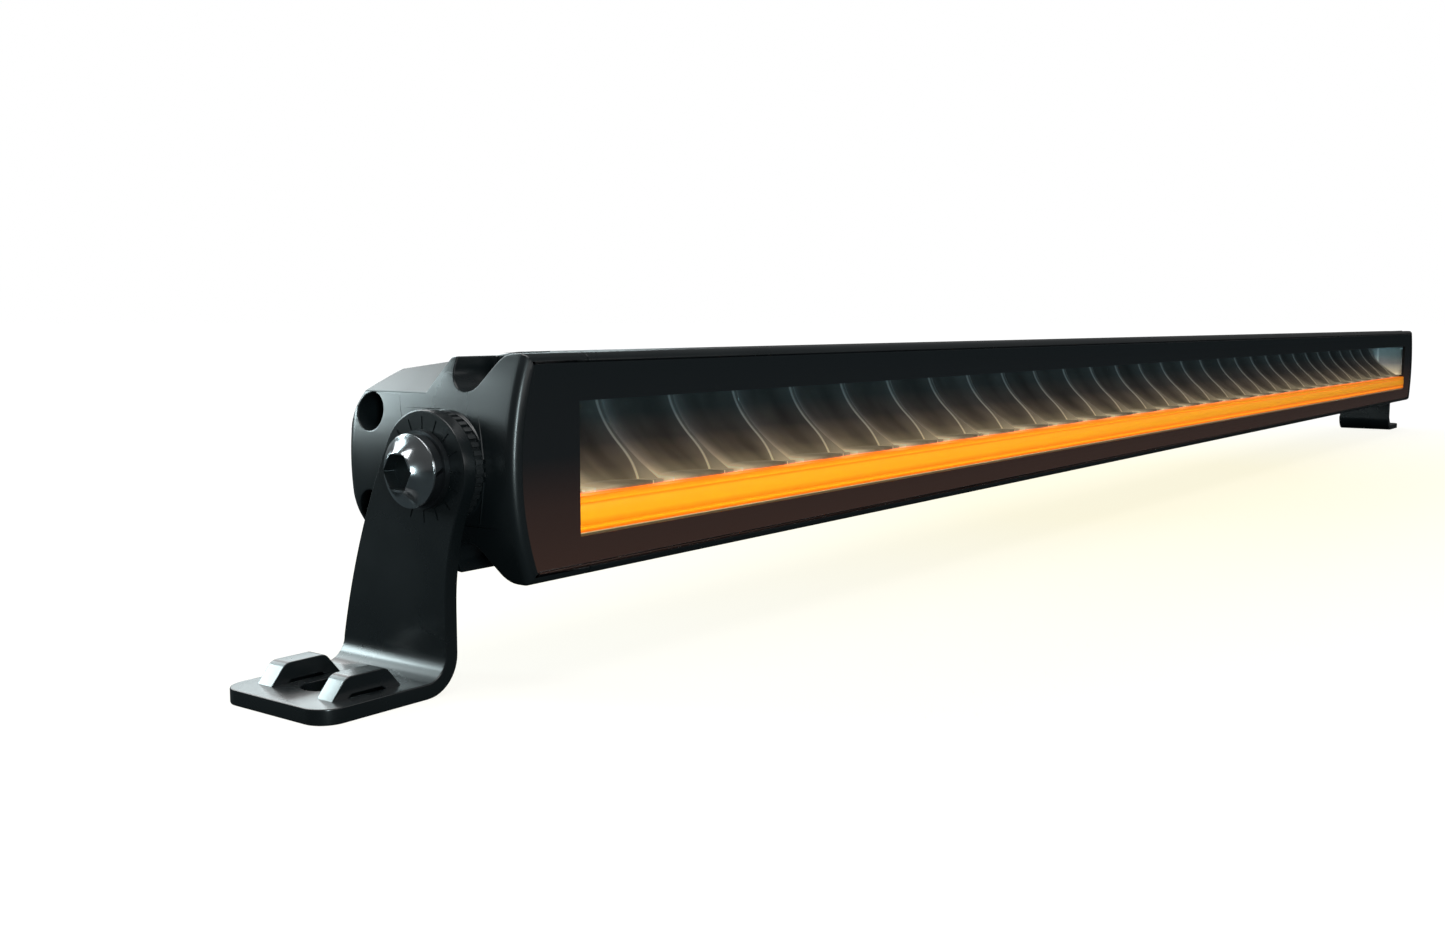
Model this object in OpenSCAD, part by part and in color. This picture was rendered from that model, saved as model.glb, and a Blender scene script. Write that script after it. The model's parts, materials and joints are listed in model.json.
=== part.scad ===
// Slim LED light bar on two tilting brackets: a finned aluminium extrusion with cast end caps,
// a bonded front lens, one row of top-lit parabolic reflectors and an amber position-light guide.
// X runs along the bar, the beam leaves towards -Y, Z is up. The origin is midway between the two
// foot slots, on the surface that the feet are bolted to.

/* [Lamp body] */
// Overall length of the lamp body, over the bowed end caps
body_len = 1067; // [700:1:1500]
// Height of the front bezel
body_h = 58.2; // [54:0.1:64]
// Depth of the lamp body, front bezel to rearmost fin
body_depth = 64; // [62:0.5:72]
// Radius of the rear back of the section
back_r = 30.6; // [29.5:0.1:34]
// How far back the top and bottom run straight
flat_top = 18; // [14:0.5:22]
// Fillet along the front edge of the bezel
bezel_r = 2.8; // [1:0.1:3.2]
// Width of the bezel beside the lens at the ends
rim_side = 3.6; // [3:0.1:6]
// Width of the bezel above and below the lens
rim_top = 2.6; // [2.2:0.1:3.5]
// Radius of the bow of each end, seen from the front
end_bow_r = 75; // [60:1:120]

/* [Extrusion] */
// Wall of the extrusion
wall = 2.5; // [2:0.1:3]
// Rear wall of the lamp cavity, behind the driver and reflectors
back_wall = 3.5; // [2.5:0.1:5]
// Depth of the lamp cavity behind the lens face
cavity_depth = 42; // [42:0.5:46]
// Height of the underside of the shelf that carries the LED boards, above the pivot
shelf_z = 21; // [20.5:0.1:21.5]
// Thickness of one cooling fin
fin_t = 2.3; // [1.5:0.1:3]
// Spacing of the cooling fins
fin_pitch = 6.5; // [6:0.1:7]

/* [End caps] */
// Length of one end cap along the bar, at its middle
cap_len = 27.9; // [24:0.1:34]
// Depth of the pocket in an end cap
cap_pocket = 6.5; // [5:0.1:7.5]
// How far the light guide reaches into an end cap
guide_reach = 12.4; // [8:0.1:14]
// Rounding of the rear edge of an end cap
cap_round = 4; // [2:0.5:9]
// Radius at the bottom of the front recesses, open to the top, that cap screws lie in
scallop_r = 5.8; // [5:0.1:6.4]
// Radius of the round rear recesses that cap screws lie in
rear_scallop_r = 5; // [4.6:0.1:5.4]
// Thickness of the cap under a screw head
scallop_floor = 8.5; // [6:0.1:12]
// Radius of a cap screw
cap_screw_r = 2.5; // [2:0.1:3]
// Radius of a cap screw's head
cap_head_r = 4.2; // [3.5:0.1:4.5]
// Thickness of the seal between an end cap and the extrusion
end_gasket_t = 1; // [0.5:0.1:2]

/* [Lens] */
// Thickness of the lens
lens_t = 3; // [2:0.1:4]
// Seam between the lens and the bezel
lens_seam = 0.3; // [0.1:0.05:0.5]
// Thickness of the lens seal
lens_gasket_t = 0.75; // [0.5:0.05:1.5]
// How far the clear window reaches past each end of the extrusion
window_reach = 1.4; // [-10:0.1:3]
// Top edge of the clear window, above the pivot
window_top = 16.5; // [12:0.1:18]
// Bottom edge of the clear window, above the pivot
window_bottom = -18.1; // [-20:0.1:-16]

/* [Optics] */
// Width of one reflector cell
cell_w = 33.5; // [31:0.1:35]
// Focal length of a reflector
focal = 7.6; // [7:0.1:8]
// Depth of a reflector's vertex behind the lens face
vertex_y = 38.7; // [37:0.1:39]
// Height of the reflector axis, which passes through the LEDs
axis_z = 18.5; // [18:0.1:19]
// Wall of a reflector
reflector_wall = 1.6; // [1.2:0.1:2]
// Width of the rib between two reflector cells
rib_w = 1.5; // [1:0.1:2.5]
// Top face of the reflector floor, above the pivot
floor_z = -7.4; // [-9:0.1:-6]
// Size of an LED chip
led_size = 3.5; // [2.5:0.1:4]
// Height of the amber light guide
guide_h = 10; // [8:0.1:10.5]
// Thickness of the amber light guide, front to back
guide_t = 5.5; // [4:0.1:6]
// Depth of the front of the light guide behind the lens face
guide_y = 5; // [4.5:0.1:5.5]

/* [Pivot] */
// Height of the pivot above the mounting surface
pivot_h = 56.5; // [50:0.5:80]
// Depth of the pivot behind the lens face
pivot_y = 24.4; // [22:0.1:28]
// Radius of the pivot bolt's shank
pivot_r = 5; // [4:0.1:6]
// Length of the pivot bolt's shank
pivot_len = 25; // [22:0.5:27]
// Radius of the pivot bolt's head
pivot_head_r = 9.3; // [8:0.1:11]
// Height of the pivot bolt's domed head
pivot_head_h = 4.6; // [4:0.1:6]
// Width across flats of the socket in the pivot bolt
pivot_socket = 8; // [6:0.5:8]
// Thickness of the spring washer
spring_washer_t = 2.2; // [1.6:0.1:2.6]
// Thickness of the plain washer
plain_washer_t = 1.6; // [1:0.1:2.5]
// Thickness of the toothed ring between cap and bracket
tilt_ring_t = 3.2; // [2:0.1:5]
// Outer radius of the toothed ring
tilt_ring_r = 14.5; // [12:0.1:16]

/* [Brackets] */
// Thickness of the bracket plate
plate = 4; // [3:0.1:6]
// Radius of the round head of a bracket
bracket_head_r = 15; // [13:0.5:18]
// Width of a bracket's foot, front to back
foot_w = 40; // [34:0.5:50]
// Depth of the front edge of the foot behind the lens face
foot_y = 17.3; // [14:0.1:20]
// How far the foot reaches out from the upright's inner face
foot_len = 42.2; // [40:0.1:60]
// Outside radius of the bend
bend_r = 10; // [7:0.5:12]
// Radius of the foot's outer corners
foot_corner_r = 6.5; // [3:0.5:10]
// Radius of the long curve at the rear edge of the upright
flare_r = 200; // [120:5:400]
// Half width of the mounting slot
slot_r = 5.25; // [4:0.05:6.5]
// Length of the mounting slot, end to end
slot_len = 14; // [13:0.5:16]
// Width across flats of the mounting bolt's head, held between the raised strips
bolt_head_af = 17; // [13:0.5:18]
// Width of a raised strip
strip_w = 6; // [4:0.5:7]
// Length of a raised strip
strip_len = 20.7; // [18:0.1:24]
// Length of the flat on top of a raised strip
strip_flat = 12; // [6:0.1:13]
// Height of a raised strip above the foot
strip_rise = 5.2; // [3:0.1:6]
// Height of the slit between a raised strip and the foot
strip_slit = 0.7; // [0.3:0.1:1.2]

/* [Clearances] */
// Radial clearance of the pivot bolt in the bracket
running_fit = 0.08; // [0.02:0.01:0.1]
// Play between the bracket and the washer or ring beside it
side_play = 0.05; // [0.02:0.01:0.1]
// Clearance round a screw in its thread or hole
screw_fit = 0.05; // [0.02:0.01:0.1]
// Clearance between an end cap and the extrusion
cap_seam = 0.1; // [0.05:0.05:0.3]
// Clearance round the light guide and its board
inner_fit = 0.3; // [0.1:0.05:0.5]

/* [Hidden] */
$fn = 96;

// The lamp's own frame: Y = 0 on the lens face, Z = 0 at the pivot.
foot_mid_y = foot_y + foot_w / 2;
half_len = body_len / 2;
half_h = body_h / 2;
seam_x = half_len - cap_len;
bow_x = half_len - end_bow_r;
back_y = body_depth - back_r;
slope_z = half_h * 0.835;
slope_y = back_y + sqrt(back_r * back_r - slope_z * slope_z);
rear_wall_y = cavity_depth + back_wall;
slope = (half_h - slope_z) / (slope_y - flat_top);
cavity_floor = -(half_h - wall);
driver_floor = cavity_floor + slope * (cavity_depth - flat_top);
lens_half_h = half_h - rim_top;
lens_bow_r = end_bow_r - rim_side;
mask_t = 0.25;
window_half = seam_x + window_reach;
ledge_y = lens_t + mask_t + lens_gasket_t;
ledge_z = 22.5;
far = 3 * body_depth;

// Reflector modules, three of them, each with as many cells as fit between the end caps
cells_per_module = floor(2 * seam_x / (3 * cell_w));
module_w = cells_per_module * cell_w;
array_half = 1.5 * module_w;
shell_top = axis_z + 0.1;
floor_t = 1.5;
floor_front = 6;
rail_t = 2;
rail_top = floor_z - floor_t;
rail_w = 4;
parabola_steps = 12;
end_panel_t = 1.6;
end_panel_depth = 20;
flange_screw_y = cavity_depth - rail_w / 2 - 1;

// LED boards, hung under the shelf
pad_t = 0.3;
board_t = 1.6;
board_w = 21;
board_bottom = shelf_z - pad_t - board_t;
led_t = 0.8;
led_y = vertex_y - focal;
board_y = cavity_depth - 1 - board_w;
board_gap = 1;
small_screw_r = 1.5;
small_head_r = 2.75;
small_head_t = 1.7;
board_screw_y = board_y + 4;
shelf_grip = 2.2;

// Amber position light
guide_bottom = window_bottom - 0.9;
guide_top = guide_bottom + guide_h;
guide_half = seam_x + guide_reach;
carrier_t = 1.8;
carrier_half = seam_x + cap_pocket - 1;
amber_led_t = 0.8;
amber_board_t = 1.2;
amber_led_y = guide_y + guide_t + inner_fit;
amber_board_y = amber_led_y + amber_led_t;
carrier_back_y = amber_board_y + amber_board_t;
carrier_bottom = guide_bottom - inner_fit - carrier_t;
amber_count = 60;
amber_pitch = 2 * carrier_half / amber_count;
amber_led_w = 3;

// Screw ports: [depth, height] of each cap screw and of the front recess
port_front = [19.1, 24.4];
port_rear = [54.3, 2 * fin_pitch];
scallop_front = [19.1, 25.1];
scallop_lean = 50;
port_wall = 1.1;
port_depth = 14;
floor_step_y = port_front[0] + cap_screw_r + port_wall + 0.5;
cap_head_t = 4;
cap_x = seam_x + cap_seam;
scallop_x = cap_x + scallop_floor;
gasket_inset = 1;
chamfer_start = 33.8;
chamfer_low_z = 18.5;
chamfer_out = 2.2;
chamfer_lean = 55;
chamfer_rake = 36;

// Driver board on the cavity floor
pocket_low = -port_front[1] + cap_screw_r + port_wall;
pocket_step_y = port_front[0] - cap_screw_r - port_wall;
driver_len = 240;
driver_y = floor_step_y + 0.3;
driver_w = cavity_depth - 2 - driver_y;
driver_z = driver_floor + 3.2;
standoff_r = 3;

// Rear fittings, on flats between the fins
flat_half_h = 8.7;
gland_x = 0;
vent_x = 70;
gland_af = 16;
gland_thread_r = 6;
gland_bore_r = 4.4;
gland_base_t = 5;
gland_nut_r = 7.8;
gland_nut_t = 8;
seal_r = 5.6;
cable_r = 3.4;
seal_t = 7;
vent_r = 6.5;
vent_t = 4;
vent_stem_r = 4;
fitting_flat = 14;

// Pivot stack, from the cap outwards
boss_x = half_len + 0.05;
plate_in = boss_x + tilt_ring_t + side_play;
plate_out = plate_in + plate;
washer_x = plate_out + side_play;
spring_x = washer_x + plain_washer_t;
head_x = spring_x + spring_washer_t;
washer_r = 10;
spring_r = 9.1;
tick_count = 16;
tick_in = 10.4;
tick_out = 12.8;
tick_w = 0.45;
tick_depth = 0.25;
ring_teeth = 40;

// Bracket
sole_z = -pivot_h;
foot_top = sole_z + plate;
bend_top = sole_z + bend_r;
foot_out = plate_in + foot_len;
slot_x = foot_out - 17.6;
strip_off = (bolt_head_af + 0.4 + strip_w) / 2;
waist_z = -35;
flare_at = 28;
waist_r = ((pivot_y - foot_y) ^ 2 + waist_z ^ 2 - bracket_head_r ^ 2)
    / (2 * (bracket_head_r - (pivot_y - foot_y)));

// Points on an arc about c from angle a to angle b.
function arc(c, r, a, b, n) =
    [for (i = [0:n]) c + r * [cos(a + (b - a) * i / n), sin(a + (b - a) * i / n)]];

// Angle of the line from p to q.
function heading(p, q) = atan2(q[1] - p[1], q[0] - p[0]);

// Centre of the circle of radius r through p and q, to the right of the line from p to q.
function arc_centre(p, q, r) =
    let (m = (p + q) / 2, h = norm(q - p) / 2, d = (q - p) / (2 * h))
    m + sqrt(r * r - h * h) * [d[1], -d[0]];

// Depth of the reflector surface at height dz off the axis and dx off the cell's middle.
function dish(dx, dz) = vertex_y - (dx * dx + dz * dz) / (4 * focal);

module lamp() {
    translate([0, -foot_mid_y, pivot_h]) children();
}

// A drawing in depth and height, pulled along the bar from x0 to x1.
module along_bar(x0, x1) {
    translate([x0, 0, 0]) rotate([90, 0, 90]) linear_extrude(x1 - x0) children();
}

// A disc or ring with its axis along the bar.
module disc_x(x0, x1, r, at = [0, 0], sides = 96) {
    translate([x0, at[0], at[1]]) rotate([0, 90, 0]) cylinder(h = x1 - x0, r = r, $fn = sides);
}

// A disc with its axis front to back.
module disc_y(y0, y1, r, at = [0, 0], sides = 96) {
    translate([at[0], y1, at[1]]) rotate([90, 0, 0]) cylinder(h = y1 - y0, r = r, $fn = sides);
}

module disc_z(z0, z1, r, at = [0, 0]) {
    translate([at[0], at[1], z0]) cylinder(h = z1 - z0, r = r);
}

// A box given by its two corners.
module block(a, b) {
    translate(a) cube(b - a);
}

module mirrored_z() {
    children();
    mirror([0, 0, 1]) children();
}

module left_side() {
    mirror([1, 0, 0]) children();
}

// Section of the lamp body: filleted front, sloping top and bottom, round back.
module body_section(inset = 0) {
    h = half_h - inset;
    a = asin(slope_z / back_r);
    low = [bezel_r, bezel_r - half_h];
    high = [bezel_r, half_h - bezel_r];
    polygon(concat(
        arc(low, bezel_r - inset, 180, 270, 6),
        [[flat_top, -h]],
        arc([back_y, 0], back_r - inset, -a, a, 24),
        [[flat_top, h]],
        arc(high, bezel_r - inset, 90, 180, 6)
    ));
}

// Front outline of the lens, larger by grow all round, between two depths.
module lens_form(y0, y1, grow) {
    h = lens_half_h + grow;
    for (s = [-1, 1]) intersection() {
        block([min(s * bow_x, s * half_len), y0, -h], [max(s * bow_x, s * half_len), y1, h]);
        disc_y(y0, y1, lens_bow_r + grow, [s * bow_x, 0]);
    }
    block([-bow_x, y0, -h], [bow_x, y1, h]);
}

module housing_extrusion() {
    color("#1a1f21") lamp() difference() {
        along_bar(-seam_x, seam_x) difference() {
            union() {
                difference() {
                    body_section();
                    cavity_section();
                    fin_slots();
                }
                ledge_section();
                screw_port_walls();
            }
            screw_port_holes();
        }
        for (x = [gland_x, vent_x]) rear_flat(x);
        disc_y(cavity_depth - 1, rear_wall_y + 1, gland_thread_r + screw_fit, [gland_x, 0]);
        disc_y(cavity_depth - 1, rear_wall_y + 1, vent_stem_r + screw_fit, [vent_x, 0]);
        for (m = [-1:1], x = board_screw_offsets())
            disc_z(shelf_z - 1, shelf_z + shelf_grip + 0.2, small_screw_r + screw_fit,
                [(m - 0.5) * module_w + x, board_screw_y]);
        for (x = flange_screw_places())
            disc_z(rail_top - rail_t - 1, rail_top + 0.5, small_screw_r + screw_fit,
                [x, flange_screw_y]);
    }
}

module cavity_section() {
    h = lens_half_h + lens_seam;
    translate([-1, -h]) square([ledge_y + 1, 2 * h]);
    cavity_outline(0);
    // wire duct inside the shelf
    translate([floor_step_y, shelf_z + wall])
        square([cavity_depth - 5 - floor_step_y, half_h - shelf_z - 2.7 * wall]);
}

// The cavity behind the lens ledge; its floor steps up where the outside slopes.
module cavity_outline(grow) {
    low = cavity_floor - grow;
    high = driver_floor - grow;
    back = cavity_depth + grow;
    polygon([
        [ledge_y - 1, low], [floor_step_y - grow, low], [floor_step_y - grow, high],
        [back, high], [back, shelf_z + grow], [ledge_y - 1, shelf_z + grow]
    ]);
}

module ledge_section() {
    h = lens_half_h + lens_seam;
    translate([ledge_y, -h - 0.5]) square([wall, h + 0.5 - ledge_z]);
    translate([cavity_depth - rail_w, rail_top - rail_t]) square([rail_w + 1, rail_t]);
}

module fin_slots() {
    gap = fin_pitch - fin_t;
    for (i = [-3:2]) translate([rear_wall_y, (i + 0.5) * fin_pitch - gap / 2]) square([far, gap]);
}

module screw_port_walls() {
    r = cap_screw_r + port_wall;
    intersection() {
        body_section();
        union() {
            translate([port_front[0], -port_front[1]]) circle(r = r);
            translate([port_front[0] - r, -half_h]) square([2 * r, half_h - port_front[1]]);
            for (s = [-1, 1]) translate([port_rear[0], s * port_rear[1]]) circle(r = r);
        }
    }
}

module screw_port_holes() {
    for (p = [port_front, port_rear], s = [-1, 1]) translate([p[0], s * p[1]])
        circle(r = cap_screw_r + screw_fit);
}

// Clears the fins down to the rear wall, for a fitting at x.
module rear_flat(x) {
    block([x - fitting_flat, rear_wall_y, -flat_half_h], [x + fitting_flat, far, flat_half_h]);
}

// The bowed end, filleted in front and rounded behind, as one turned solid.
module bowed_end() {
    translate([bow_x, 0, 0]) rotate([-90, 0, 0]) rotate_extrude($fn = 128) {
        square([end_bow_r - cap_round, body_depth + 1]);
        translate([0, bezel_r]) square([end_bow_r, body_depth - bezel_r - cap_round]);
        translate([end_bow_r - bezel_r, bezel_r]) circle(r = bezel_r);
        translate([end_bow_r - cap_round, body_depth - cap_round]) circle(r = cap_round);
    }
}

module end_cap() {
    difference() {
        intersection() {
            along_bar(cap_x, half_len + 1) body_section();
            bowed_end();
        }
        lens_form(-1, ledge_y, lens_seam);
        block([cap_x - 1, ledge_y - 1, pocket_low], [seam_x + cap_pocket, cavity_depth, shelf_z]);
        block([cap_x - 1, ledge_y - 1, carrier_bottom - inner_fit],
            [seam_x + cap_pocket, pocket_step_y, shelf_z]);
        block([cap_x, ledge_y - 1, guide_bottom - inner_fit],
            [guide_half + inner_fit, amber_led_y, guide_top + inner_fit]);
        along_bar(cap_x - 1, cap_x + end_gasket_t) gasket_section(0);
        mirrored_z() {
            along_bar(scallop_x, half_len + 1) front_scallop();
            disc_x(scallop_x, half_len + 1, rear_scallop_r, port_rear);
            side_chamfer();
        }
        for (p = [port_front, port_rear])
            mirrored_z() disc_x(cap_x - 1, half_len, cap_screw_r + screw_fit, p);
        disc_x(head_x - pivot_len - 1, half_len + 1, pivot_r + screw_fit, [pivot_y, 0]);
    }
    // round seat of the toothed ring
    difference() {
        disc_x(half_len - 4, boss_x, tilt_ring_r, [pivot_y, 0]);
        disc_x(half_len - 5, boss_x + 1, pivot_r + screw_fit, [pivot_y, 0]);
    }
}

// Section of a front recess: round bottom, upright rear wall, front wall leaning forward.
module front_scallop() {
    r = scallop_r;
    top = half_h + 1;
    touch = -90 - scallop_lean;
    p = scallop_front + r * [cos(touch), sin(touch)];
    polygon(concat(
        [[scallop_front[0] + r, top]],
        arc(scallop_front, r, 0, touch, 14),
        [[p[0] - (top - p[1]) / tan(scallop_lean), top]]
    ));
}

// The flat that slopes from the side face up to the top, behind the front recess.
module side_chamfer() {
    rise = far - chamfer_low_z;
    intersection() {
        translate([half_len - chamfer_out, 0, chamfer_low_z])
            rotate([0, -chamfer_lean, 0]) block([0, 0, -far], [far, far, far]);
        along_bar(seam_x, half_len + 1) polygon([
            [chamfer_start, chamfer_low_z], [chamfer_start - rise * tan(chamfer_rake), far],
            [far, far], [far, chamfer_low_z - 1], [chamfer_start, chamfer_low_z - 1]
        ]);
    }
}

// Flat seal round the mouth of the cavity, with holes for the front screws.
module gasket_section(play) {
    intersection() {
        difference() {
            body_section(gasket_inset + play);
            difference() {
                cavity_outline(play);
                translate([port_front[0], -port_front[1]])
                    circle(r = cap_screw_r + port_wall - play);
            }
            for (s = [-1, 1]) translate([port_front[0], s * port_front[1]])
                circle(r = cap_screw_r + screw_fit);
        }
        translate([ledge_y + wall + play, -far])
            square([rear_wall_y - ledge_y - wall - 2 * play, 2 * far]);
    }
}

module end_gasket() {
    along_bar(cap_x, cap_x + end_gasket_t) gasket_section(0.05);
}

// Cap screws, one solid each: shank and domed head with a hexagon socket.
module cap_screws() {
    for (p = [port_front, port_rear]) mirrored_z()
        translate([scallop_x, p[0], p[1]]) rotate([0, 90, 0])
            socket_screw(cap_screw_r, scallop_floor + port_depth, cap_head_r, cap_head_t, 4);
}

// A screw along +Z with its head's seat on Z = 0.
module socket_screw(r, len, head_r, head_t, af) {
    difference() {
        union() {
            translate([0, 0, -len]) cylinder(h = len, r = r);
            rotate_extrude() dome_outline(head_r, head_t);
        }
        translate([0, 0, head_t * 0.4]) cylinder(h = head_t, r = af / 2 / cos(30), $fn = 6);
    }
}

// Half outline of a domed head: a short straight rim, then an arc to a small flat.
module dome_outline(r, h) {
    rim = h * 0.2;
    top_r = r * 0.45;
    sphere_r = 1.15 * r;
    c = arc_centre([r, rim], [top_r, h], sphere_r);
    polygon(concat([[0, 0], [r, 0]],
        arc(c, sphere_r, heading(c, [r, rim]), heading(c, [top_r, h]), 10), [[0, h]]));
}

module lens() {
    color("#2b3236", 0.4) lamp() lens_form(0, lens_t, 0);
}

module lens_mask() {
    h = lens_half_h - 0.2;
    r = lens_bow_r - 0.2;
    a = asin(h / r);
    color("#101314") lamp() translate([0, lens_t + mask_t, 0]) rotate([90, 0, 0])
        linear_extrude(mask_t) difference() {
            polygon(concat(arc([bow_x, 0], r, -a, a, 24), arc([-bow_x, 0], r, 180 - a, 180 + a, 24)));
            translate([-window_half, window_bottom - 1])
                square([2 * window_half, window_top - window_bottom + 1]);
        }
}

module lens_gasket() {
    color("#1c1c1c") lamp() difference() {
        lens_form(lens_t + mask_t, ledge_y, -0.4);
        block([-guide_half - 0.5, 0, -ledge_z], [guide_half + 0.5, ledge_y + 1, ledge_z - 1.5]);
    }
}

// One reflector module: a row of dishes that meet at narrow ribs, on a floor with a rear flange.
module reflector(index) {
    x0 = index * module_w - module_w / 2;
    color("#8d9390") lamp() difference() {
        along_bar(x0 + 0.05, x0 + module_w - 0.05) reflector_section();
        for (i = [0:cells_per_module - 1]) translate([x0 + (i + 0.5) * cell_w, 0, 0]) dish_cut();
        for (s = [0, 1]) disc_z(floor_z - 9, floor_z + 1, small_screw_r + screw_fit,
            [x0 + s * module_w + (1 - 2 * s) * cell_w / 2, flange_screw_y]);
    }
}

module reflector_section() {
    steps = parabola_steps;
    top = shell_top - axis_z;
    low = floor_z - axis_z;
    rib_x = (cell_w - rib_w) / 2;
    polygon(concat(
        [for (i = [0:steps]) let (z = top + (low - top) * i / steps) [dish(rib_x, z), axis_z + z]],
        [[floor_front, floor_z], [floor_front, floor_z - floor_t]],
        [[cavity_depth - inner_fit, floor_z - floor_t], [cavity_depth - inner_fit, floor_z]],
        [for (i = [steps:-1:0]) let (z = top + (low - top) * i / steps)
            [dish(0, z) + reflector_wall, axis_z + z]]
    ));
}

// The paraboloid of one cell, above the floor.
module dish_cut() {
    reach = norm([cell_w / 2, axis_z - floor_z]) + 2;
    intersection() {
        translate([0, vertex_y, axis_z]) rotate([90, 0, 0]) rotate_extrude($fn = 64)
            polygon(concat([[0, vertex_y]], [for (i = [0:parabola_steps])
                let (r = reach * i / parabola_steps) [r, r * r / (4 * focal)]], [[reach, vertex_y]]));
        block([-cell_w / 2 + rib_w / 2, -1, floor_z], [cell_w / 2 - rib_w / 2, far, far]);
    }
}

module left_reflector() { reflector(-1); }
module centre_reflector() { reflector(0); }
module right_reflector() { reflector(1); }

// Slanting blind between the last dish and the cap.
module reflector_end() {
    x0 = array_half + 0.2;
    x1 = seam_x + cap_pocket - 0.5;
    color("#8d9390") lamp() translate([0, 0, floor_z]) linear_extrude(shell_top - floor_z) polygon([
        [x1 - end_panel_t, floor_front], [x1, floor_front],
        [x0 + end_panel_t, floor_front + end_panel_depth],
        [x0 + end_panel_t, cavity_depth - inner_fit], [x0, cavity_depth - inner_fit],
        [x0, floor_front + end_panel_depth]
    ]);
}

module left_reflector_end() { left_side() reflector_end(); }
module right_reflector_end() { reflector_end(); }

// A screw straight down into a flange, or up into a shelf when up is -1.
module small_screw(at, z, up, len) {
    translate([at[0], at[1], z]) scale([1, 1, up])
        socket_screw(small_screw_r, len, small_head_r, small_head_t, 2);
}

function flange_screw_places() = [for (m = [-1:1], s = [-1, 1])
    m * module_w + s * (module_w - cell_w) / 2];

module reflector_screws() {
    color("silver") lamp() for (x = flange_screw_places())
        small_screw([x, flange_screw_y], floor_z, 1, floor_t + rail_t + 1);
}

module led_board(index) {
    x0 = index * module_w - module_w / 2;
    color("#e6e8e4") lamp() difference() {
        block([x0 + board_gap / 2, board_y, board_bottom],
            [x0 + module_w - board_gap / 2, board_y + board_w, board_bottom + board_t]);
        for (s = board_screw_offsets()) disc_z(board_bottom - 1, shelf_z, small_screw_r + screw_fit,
            [x0 + s, board_screw_y]);
    }
}

function board_screw_offsets() = [cell_w / 2, module_w / 2, module_w - cell_w / 2];

module left_led_board() { led_board(-1); }
module centre_led_board() { led_board(0); }
module right_led_board() { led_board(1); }

module thermal_pads() {
    color("#9aa4c0") lamp() for (m = [-1:1]) let (x0 = m * module_w - module_w / 2)
        block([x0 + board_gap, board_screw_y + small_head_r, shelf_z - pad_t],
            [x0 + module_w - board_gap, board_y + board_w, shelf_z]);
}

module led_chips() {
    h = led_size / 2;
    color("#e8dd6a") lamp() for (i = [0:3 * cells_per_module - 1])
        let (x = -array_half + (i + 0.5) * cell_w)
        block([x - h, led_y - h, board_bottom - led_t], [x + h, led_y + h, board_bottom]);
}

module led_board_screws() {
    color("silver") lamp() for (m = [-1:1], s = board_screw_offsets())
        small_screw([(m - 0.5) * module_w + s, board_screw_y], board_bottom, -1,
            board_t + pad_t + shelf_grip);
}

// The amber bar with round ends.
module light_guide() {
    r = guide_h / 2;
    mid = guide_bottom + r;
    color("#ff9d12") lamp() {
        block([-guide_half + r, guide_y, guide_bottom], [guide_half - r, guide_y + guide_t, guide_top]);
        for (s = [-1, 1]) intersection() {
            disc_y(guide_y, guide_y + guide_t, r, [s * (guide_half - r), mid]);
            block([min(0, s * far * 9), 0, -far], [max(0, s * far * 9), far, far]);
        }
    }
}

// Channel below and behind the light guide.
module guide_carrier() {
    color("#2a2d2e") lamp() along_bar(-carrier_half, carrier_half) polygon([
        [ledge_y + 0.4, carrier_bottom], [carrier_back_y + carrier_t, carrier_bottom],
        [carrier_back_y + carrier_t, floor_z - floor_t], [carrier_back_y, floor_z - floor_t],
        [carrier_back_y, carrier_bottom + carrier_t], [ledge_y + 0.4, carrier_bottom + carrier_t]
    ]);
}

module amber_board() {
    color("#f0f0ea") lamp() block([-carrier_half, amber_board_y, guide_bottom],
        [carrier_half, amber_board_y + amber_board_t, guide_top]);
}

module amber_leds() {
    z = guide_bottom + guide_h / 2;
    h = amber_led_w / 2;
    color("#ffc94a") lamp() for (i = [0:amber_count - 1])
        let (x = -carrier_half + (i + 0.5) * amber_pitch)
        block([x - h, amber_led_y, z - h], [x + h, amber_board_y, z + h]);
}

function driver_corners() = [for (x = [-1, 1], y = [0, 1])
    [x * (driver_len / 2 - 6), driver_y + 5 + y * (driver_w - 10)]];

module driver_board() {
    color("#1f5a36") lamp() difference() {
        block([-driver_len / 2, driver_y, driver_z],
            [driver_len / 2, driver_y + driver_w, driver_z + board_t]);
        for (p = driver_corners()) disc_z(driver_z - 1, driver_z + 3, small_screw_r + screw_fit, p);
    }
}

// Parts on the driver board, from one end to the other.
module driver_parts() {
    top = driver_z + board_t;
    mid = driver_y + driver_w / 2;
    color("#33383c") lamp() {
        for (i = [0:3]) disc_x(-80 + i * 22, -62 + i * 22, 3.8, [mid, top + 3.8], 48);
        for (i = [0:1]) block([20 + i * 20, mid - 6, top], [33 + i * 20, mid + 6, top + 7]);
        for (i = [0:5]) block([62 + i * 7, mid - 3, top], [67 + i * 7, mid + 3, top + 2.2]);
        block([-104, mid - 6, top], [-90, mid + 6, top + 7.5]);
    }
}

module driver_standoffs() {
    color("silver") lamp() for (p = driver_corners()) difference() {
        disc_z(driver_floor, driver_z, standoff_r, p);
        disc_z(driver_floor - 1, driver_z + 1, small_screw_r + screw_fit, p);
    }
}

module driver_screws() {
    color("silver") lamp() for (p = driver_corners()) small_screw(p, driver_z + board_t, 1, board_t + 3);
}

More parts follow.
